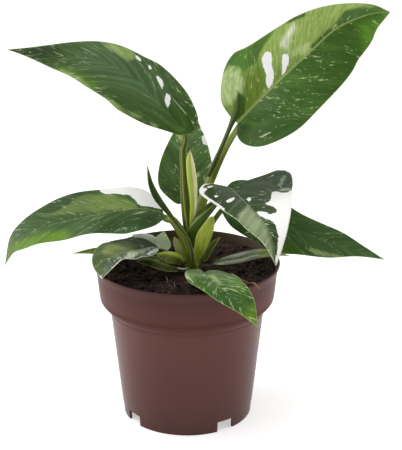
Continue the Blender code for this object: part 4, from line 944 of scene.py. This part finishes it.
# A stalk comes up under its leaf's base, RUN_IN before it, and ends SEAT_ALONG past it, thinner each time.
RUN_IN, RUN_IN_GAP, RUN_IN_SIZE = 3, 0.4, 0.85
SEAT_ALONG, SEAT_GAP, SEAT_SIZE = 5, 0.35, 0.6
stalk_runs = [([(*CROWN, 84), (*CROWN, 91), (*CROWN, 99)], (6, 6, 4.6), (0, -1, 0), "#3a2f1c", "#5a6328",
               "#6d7434")]
for leaf_name, route, radii, foot_tone, end_tone, ridge_tone in (
        ("leaf_upper_left", [LOW_START, (2.6, 7, 112), (1.2, 6, 124), (-0.4, 5.5, 135), (-1.4, 4.8, 148),
                             (-2.1, 4.5, 162), (-2.3, 5, 175)], (4, 3.8, 3.6, 3.1, 2.7, 2.2, 2),
         "#5c6814", "#56620f", "#ccd07c"),
        ("leaf_upper_right", [LOW_START, (6, 13, 113), (9.5, 18.5, 136), (17.8, 16.5, 159), (25.6, 10, 178)],
         (4, 4, 3.5, 2.8, 2.2),
         "#7a872e", "#828e3c", "#bec474"),
        ("leaf_back", [LOW_START, (3, 16, 108), (2, 26, 120)], (3, 2.4, 1.8),
         "#4d5a26", "#52642c", "#8f9a58"),
        ("leaf_left", [LOW_START, (3.6, 3, 102), (1.1, 1, 111), (-3.2, 1.2, 122), (-8.9, 3.7, 130)],
         (4, 3.7, 3.4, 3.1, 2.7),
         "#788524", "#7e8e2a", "#a5ad50"),
        ("leaf_front_right", [LOW_START, (2.6, 3.5, 112), (3.6, 0.6, 122.5), (6.8, -1.2, 130.5), (12.3, 0.3, 137),
                              (22, 8.5, 144)], (4, 3.4, 3.3, 3.8, 3.5, 1.8),
         "#3f521a", "#45601c", "#b9c66e"),
        ("leaf_right", [LOW_START, (9, 12, 109), (16, 18, 122), (22, 24, 129)], (3.5, 2.2, 1.8, 1.7),
         "#4f5c28", "#56692e", "#8f9a58"),
        ("leaf_over_rim_left", [HIGH_START, (-4, 6, 101), (-12, 9, 106)], (2.5, 1.6, 1.3),
         "#545c2c", "#66743e", "#9aa468"),
        ("leaf_over_rim_front", [HIGH_START, (7, -1, 98), (9, -8, 99)], (2.5, 1.5, 1.3),
         "#4d5628", "#687848", "#93a06a"),
        ("leaf_narrow_right", [HIGH_START, (10, 4, 98), (13, 3, 99)], (2.5, 1.3, 1),
         "#4a4626", "#6e6a48", "#98946e"),
        ("leaf_silver", [HIGH_START, (-4, 18, 98), (-13, 27, 100)], (2.5, 1.3, 1),
         "#4f5a30", "#6e7c58", "#98a380"),
        ("leaf_pale", [HIGH_START, (-5, 14, 98), (-13, 20, 99)], (2.5, 1.3, 1),
         "#4f5a30", "#7d8f5c", "#a4b080"),
        ("leaf_far_left", [HIGH_START, (-5, 11, 97), (-11, 13, 97)], (2.5, 1.3, 1),
         "#545c2c", "#7f8c4a", "#a2ac68"),
        ("leaf_arched", [HIGH_START, (-1, 4, 99)], (2.5, 1),
         "#5c6c24", "#6e8a26", "#a9b86a"),
        ("leaf_low_dark", [HIGH_START, (-1, 1, 97)], (2.5, 1),
         "#3d4a1c", "#34491a", "#6f7f40"),
        ("leaf_pointed", [LOW_START, (4, 3, 98)], (3, 1.6),
         "#66702c", "#5c6a2a", "#a2a864")):
    place, ahead, face, _ = (v[0] for v in leaf_ribs[leaf_name].at(np.array([0.0])))
    toward = place - np.array(route[-1])
    run_in = place - RUN_IN * toward / np.linalg.norm(toward) - face * (RUN_IN_GAP + 0.8 * radii[-1])
    seat = place + ahead * SEAT_ALONG - face * (SEAT_GAP + 0.45 * radii[-1])
    stalk_runs.append((route + [tuple(run_in), tuple(seat)], (*radii, RUN_IN_SIZE * radii[-1], SEAT_SIZE * radii[-1]),
                       tuple(face), foot_tone, end_tone, ridge_tone))
stalks("plant_stem", stalk_runs, stalk_skin, ["plant_stem"], "petiole")

# ---------------------------------------------------------------- young leaves and sheaths
# Two rolled new leaves stand by their parents' stalks, and papery sheaths from which older ones came wrap
# the crown. They are thin, soft and bright, with veins that run straight along them.

# The pale one shows a yellow-green back and the cream face of its outer lap, with a pinkish line between.
rolled_pale, tree, shader = new_material("rolled_young_leaf_cream")
around, along = (add(tree, "Attribute", attribute_name=label).outputs["Fac"] for label in ("around", "along_mm"))
slow_along = add(tree, "Math", {0: along, 1: 0.04}, operation="MULTIPLY")
lengthwise = add(tree, "CombineXYZ", {0: around, 1: slow_along})
streaks = add(tree, "TexNoise", {"Vector": lengthwise, "Scale": 2.6, "Detail": 3.0})
skin, ridge = (add(tree, "Attribute", attribute_name=label).outputs["Color"] for label in ("skin", "ridge"))
face_part = add(tree, "MapRange", {0: around, 1: -0.1, 2: 0.25}, interpolation_type="SMOOTHSTEP")
colour = add(tree, "Mix", {0: face_part, 6: skin, 7: ridge}, data_type="RGBA")
off_line = add(tree, "Math", {0: around, 1: 0.05}, operation="SUBTRACT")
off_line = add(tree, "Math", {0: off_line}, operation="ABSOLUTE")
pink = add(tree, "MapRange", {0: off_line, 1: 0.22, 2: 0.05, 4: 0.5})
colour = add(tree, "Mix", {0: pink, 6: colour, 7: "#a98c5e"}, data_type="RGBA")
level = add(tree, "MapRange", {0: streaks, 1: 0.3, 2: 0.7, 3: 0.85, 4: 1.15})
colour = add(tree, "VectorMath", {0: colour, "Scale": level}, operation="SCALE")
feed(shader, {"Base Color": colour, "Roughness": 0.42, "IOR": 1.42})

stalks("new_leaf_pale",
       [([(2.8, 1.6, 126), (3.5, 1, 132), (4, 0.4, 138.5), (4.1, 0, 146), (3.6, 0, 155), (2.6, 0.2, 164),
          (1.9, 0.5, 172), (2.2, 0.5, 177.5)],
         (1.2, 2, 2.2, 2.5, 3, 3, 2.2, 0.3), (0.15, -1, 0), "#97ad34", "#adbf4c", "#e6e2a4")],
       rolled_pale, ["new_leaf_pale"], "young_leaf", Groove_depth=0.0, Overlap=0.24)
stalks("new_leaf_dark",
       [([(13.8, 13.3, 157), (17.8, 10.9, 167), (22.2, 4.8, 179), (27, -1, 193), (31, -5, 205), (32, -7, 216)],
         (1.3, 1.5, 1.4, 1.5, 2.4, 0.3), (0.3, -1, 0), "#4d5a22", "#3c5420", "#8a9450")],
       stalk_skin, ["new_leaf_dark"], "petiole", Groove_depth=0.1, Overlap=0.2)

# Sheath skin is half see-through when fresh: here it is drawn as bright green paper with fine straight
# veins 0.7 mm apart and a pale dry edge.
sheath_skin, tree, shader = new_material("fresh_sheath_skin")
vein = add(tree, "Attribute", attribute_name="vein_mm").outputs["Vector"]
straight = add(tree, "VectorMath", {0: vein, 1: (1.0, 0.06, 1.0)}, operation="MULTIPLY")
fine = add(tree, "TexNoise", {"Vector": straight, "Scale": 1.3, "Detail": 3.0, "Roughness": 0.6})
ground, light = (add(tree, "Attribute", attribute_name=label).outputs["Color"] for label in ("ground", "light"))
lit = add(tree, "MapRange", {0: fine, **NOISE_SPAN})
colour = add(tree, "Mix", {0: lit, 6: ground, 7: light}, data_type="RGBA")
edge_mm = add(tree, "Attribute", attribute_name="edge_mm").outputs["Fac"]
rim_part = add(tree, "MapRange", {0: edge_mm, 1: 0.7, 2: 0.15, 4: 0.7})
colour = add(tree, "Mix", {0: rim_part, 6: colour, 7: "#c9cc8e"}, data_type="RGBA")
feed(shader, {"Base Color": colour, "Roughness": 0.42, "IOR": 1.4})

blade("cataphyll_right", SMALL,
      [(7.1, -2.5, 103.7), (7.8, -5.5, 112), (10.3, -6.8, 122), (13.4, -7.6, 129.3), (16.4, -8, 136.8)],
      (-0.2, -1, 0.2), (-0.2, -1, 0.2),
      *scaled(SPOON, 36, 4.8), -8, -12, "#8d9e22", "#c2d048", wave=0.1, mat=sheath_skin, slot="cataphyll",
      tints=[([(-3, 8), (1, 8), (2, 24), (-2, 26)], "#76861e", 3)])

# Its pale colours are partly its own and partly painted light, for the light that shines through it from behind.
blade("cataphyll_left", SMALL,
      [(-2.2, 9.5, 99.5), (-5.2, 9, 108), (-8.3, 8.5, 117.3)], (-0.4, -0.9, 0.2), (-0.4, -0.9, 0.2),
      *scaled(SHEATH, 19, 3.8), -10, -30, "#e0dc78", "#f0ecb4", wave=0.1, mat=sheath_skin, slot="cataphyll")

blade("cataphyll_small", SMALL,
      [(11.5, 7, 100.5), (14, 8, 106.5), (17.8, 9, 112.3), (21.5, 10, 116.5)], (-0.4, -0.7, 0.6), (-0.4, -0.7, 0.6),
      *scaled(LANCE, 20, 2.6), 15, 10, "#5c6430", "#8a9248", wave=0.1, mat=sheath_skin, slot="cataphyll")

# ---------------------------------------------------------------- surface roots
# One dead surface root, a dry thread a millimetre thick, grew along the soil and over the rim. Three young
# ones, thinner and full of water, break the soil by the crown.

# Dry bark: dull and orange-brown, ringed with wrinkles about a millimetre apart.
dry_bark, tree, shader = new_material("dry_root_bark")
along = add(tree, "Attribute", attribute_name="along_mm").outputs["Fac"]
wrinkle = add(tree, "TexNoise", {"W": along, "Scale": 1.1, "Detail": 4.0}, noise_dimensions="1D")
tone = add(tree, "Mix", {0: wrinkle, 6: "#6e3a22", 7: "#b47a52"}, data_type="RGBA")
relief = add(tree, "Bump", {"Height": wrinkle, "Strength": 0.6, "Distance": 0.0003})
feed(shader, {"Base Color": tone, "Normal": relief, "Roughness": 0.75})
stalks("dry_root", [([(29, 5, 93.1), (33, -12, 96.2), (38, -32, 101), (41, -43.5, 105.3), (44, -50, 104.6)],
                     (0.5, 0.6, 0.6, 0.6, 0.5), (0, 0, 1), "#804a2c", "#a8693f", "#a8693f")],
       dry_bark, ["dry_root"], "dry_root", Sides=10, Groove_depth=0.05)

# Young surface roots by the crown: cream-white and smooth, one a millimetre thick, the others fine as thread.
root_skin, tree, shader = new_material("young_root_skin")
along = add(tree, "Attribute", attribute_name="along_mm").outputs["Fac"]
wrinkle = add(tree, "TexNoise", {"W": along, "Scale": 0.8, "Detail": 3.0}, noise_dimensions="1D")
tone = add(tree, "Mix", {0: wrinkle, 6: "#a8907a", 7: "#f2ece2"}, data_type="RGBA")
feed(shader, {"Base Color": tone, "Roughness": 0.6})
root_tones = ("#e8e0d4", "#e8e0d4", "#e8e0d4")
stalks("pale_rootlets",
       [([(-7.4, 2.5, 95.5), (-6.2, 0, 98.8), (-4.6, -2.6, 99.4), (-2.9, -3.4, 99.4), (-1.2, -2.4, 99.2),
          (0.8, 0.6, 98.4), (2, 3, 97.5)], (0.4, 0.5, 0.6, 0.65, 0.6, 0.5, 0.4), (0, 0, 1), *root_tones),
        ([(-12.4, -9.5, 92), (-12.6, -9.5, 94), (-13.4, -9.6, 96.6)], (0.25, 0.25, 0.16), (0, -1, 0), *root_tones),
        ([(-7.8, -16.6, 92), (-8, -16.4, 93.6), (-8.1, -16.6, 95.8)], (0.22, 0.2, 0.14), (0, -1, 0), *root_tones)],
       root_skin, [], "soil", step=0.6, Sides=8, Groove_depth=0.0)

# ---------------------------------------------------------------- stage
# A white table in a light tent: the cloth behind and beside the plant glows, and so does the table a little,
# the side of the camera is dim, and a broad soft box hangs over it a little to the left.

floor_mesh = new_mesh("floor", [(-4000, -4000, 0), (4000, -4000, 0), (4000, 4000, 0), (-4000, 4000, 0)], [],
                      [(0, 1, 2, 3)])
paper, tree, shader = new_material("matt_white_paper")
feed(shader, {"Base Color": "#f4f4f4", "Roughness": 0.95, "Specular IOR Level": 0.1, "Emission Color": (1, 1, 1, 1),
              "Emission Strength": 0.5})
floor = show("floor", floor_mesh, paper)

world = bpy.data.worlds.new("light_tent")
bpy.context.scene.world = world
world.use_nodes = True
tree = world.node_tree
sky = tree.nodes["Background"]
way = add(tree, "TexCoord").outputs["Generated"]
way = add(tree, "SeparateXYZ", {0: way})
glow = add(tree, "MapRange", {0: way.outputs["Y"], 1: -0.9, 2: 0.8, 3: 0.26, 4: 0.75},
           interpolation_type="SMOOTHSTEP")
feed(sky, {"Strength": glow, "Color": (1, 1, 1, 1)})
bpy.context.scene.view_settings.view_transform = "Standard"

for name, place, aim, width, height, power in (
        ("soft_box", (-0.35, -0.25, 1.25), (0, 0, 0.15), 0.9, 0.9, 5.5),
        ("left_panel", (-1.2, 0.35, 0.4), (0, 0, 0.1), 0.5, 1.2, 10.0),
        ("right_panel", (1.2, 0.3, 0.4), (0, 0, 0.1), 0.5, 1.2, 6.5)):
    light = bpy.data.lights.new(name, "AREA")
    light.shape = "RECTANGLE"
    light.size, light.size_y, light.energy = width, height, power
    lamp = bpy.data.objects.new(name, light)
    bpy.context.scene.collection.objects.link(lamp)
    lamp.location = place
    lamp.rotation_euler = (Vector(aim) - Vector(place)).to_track_quat("-Z", "Y").to_euler()

camera_data = bpy.data.cameras.new("camera")
camera_data.lens = 99.2
camera_data.sensor_width = 36
camera = bpy.data.objects.new("camera", camera_data)
camera.location = (0, -0.750, 0.388)
camera.rotation_euler = Euler((math.radians(90 - 19.1), 0, math.radians(-0.69)))
bpy.context.scene.collection.objects.link(camera)
bpy.context.scene.camera = camera
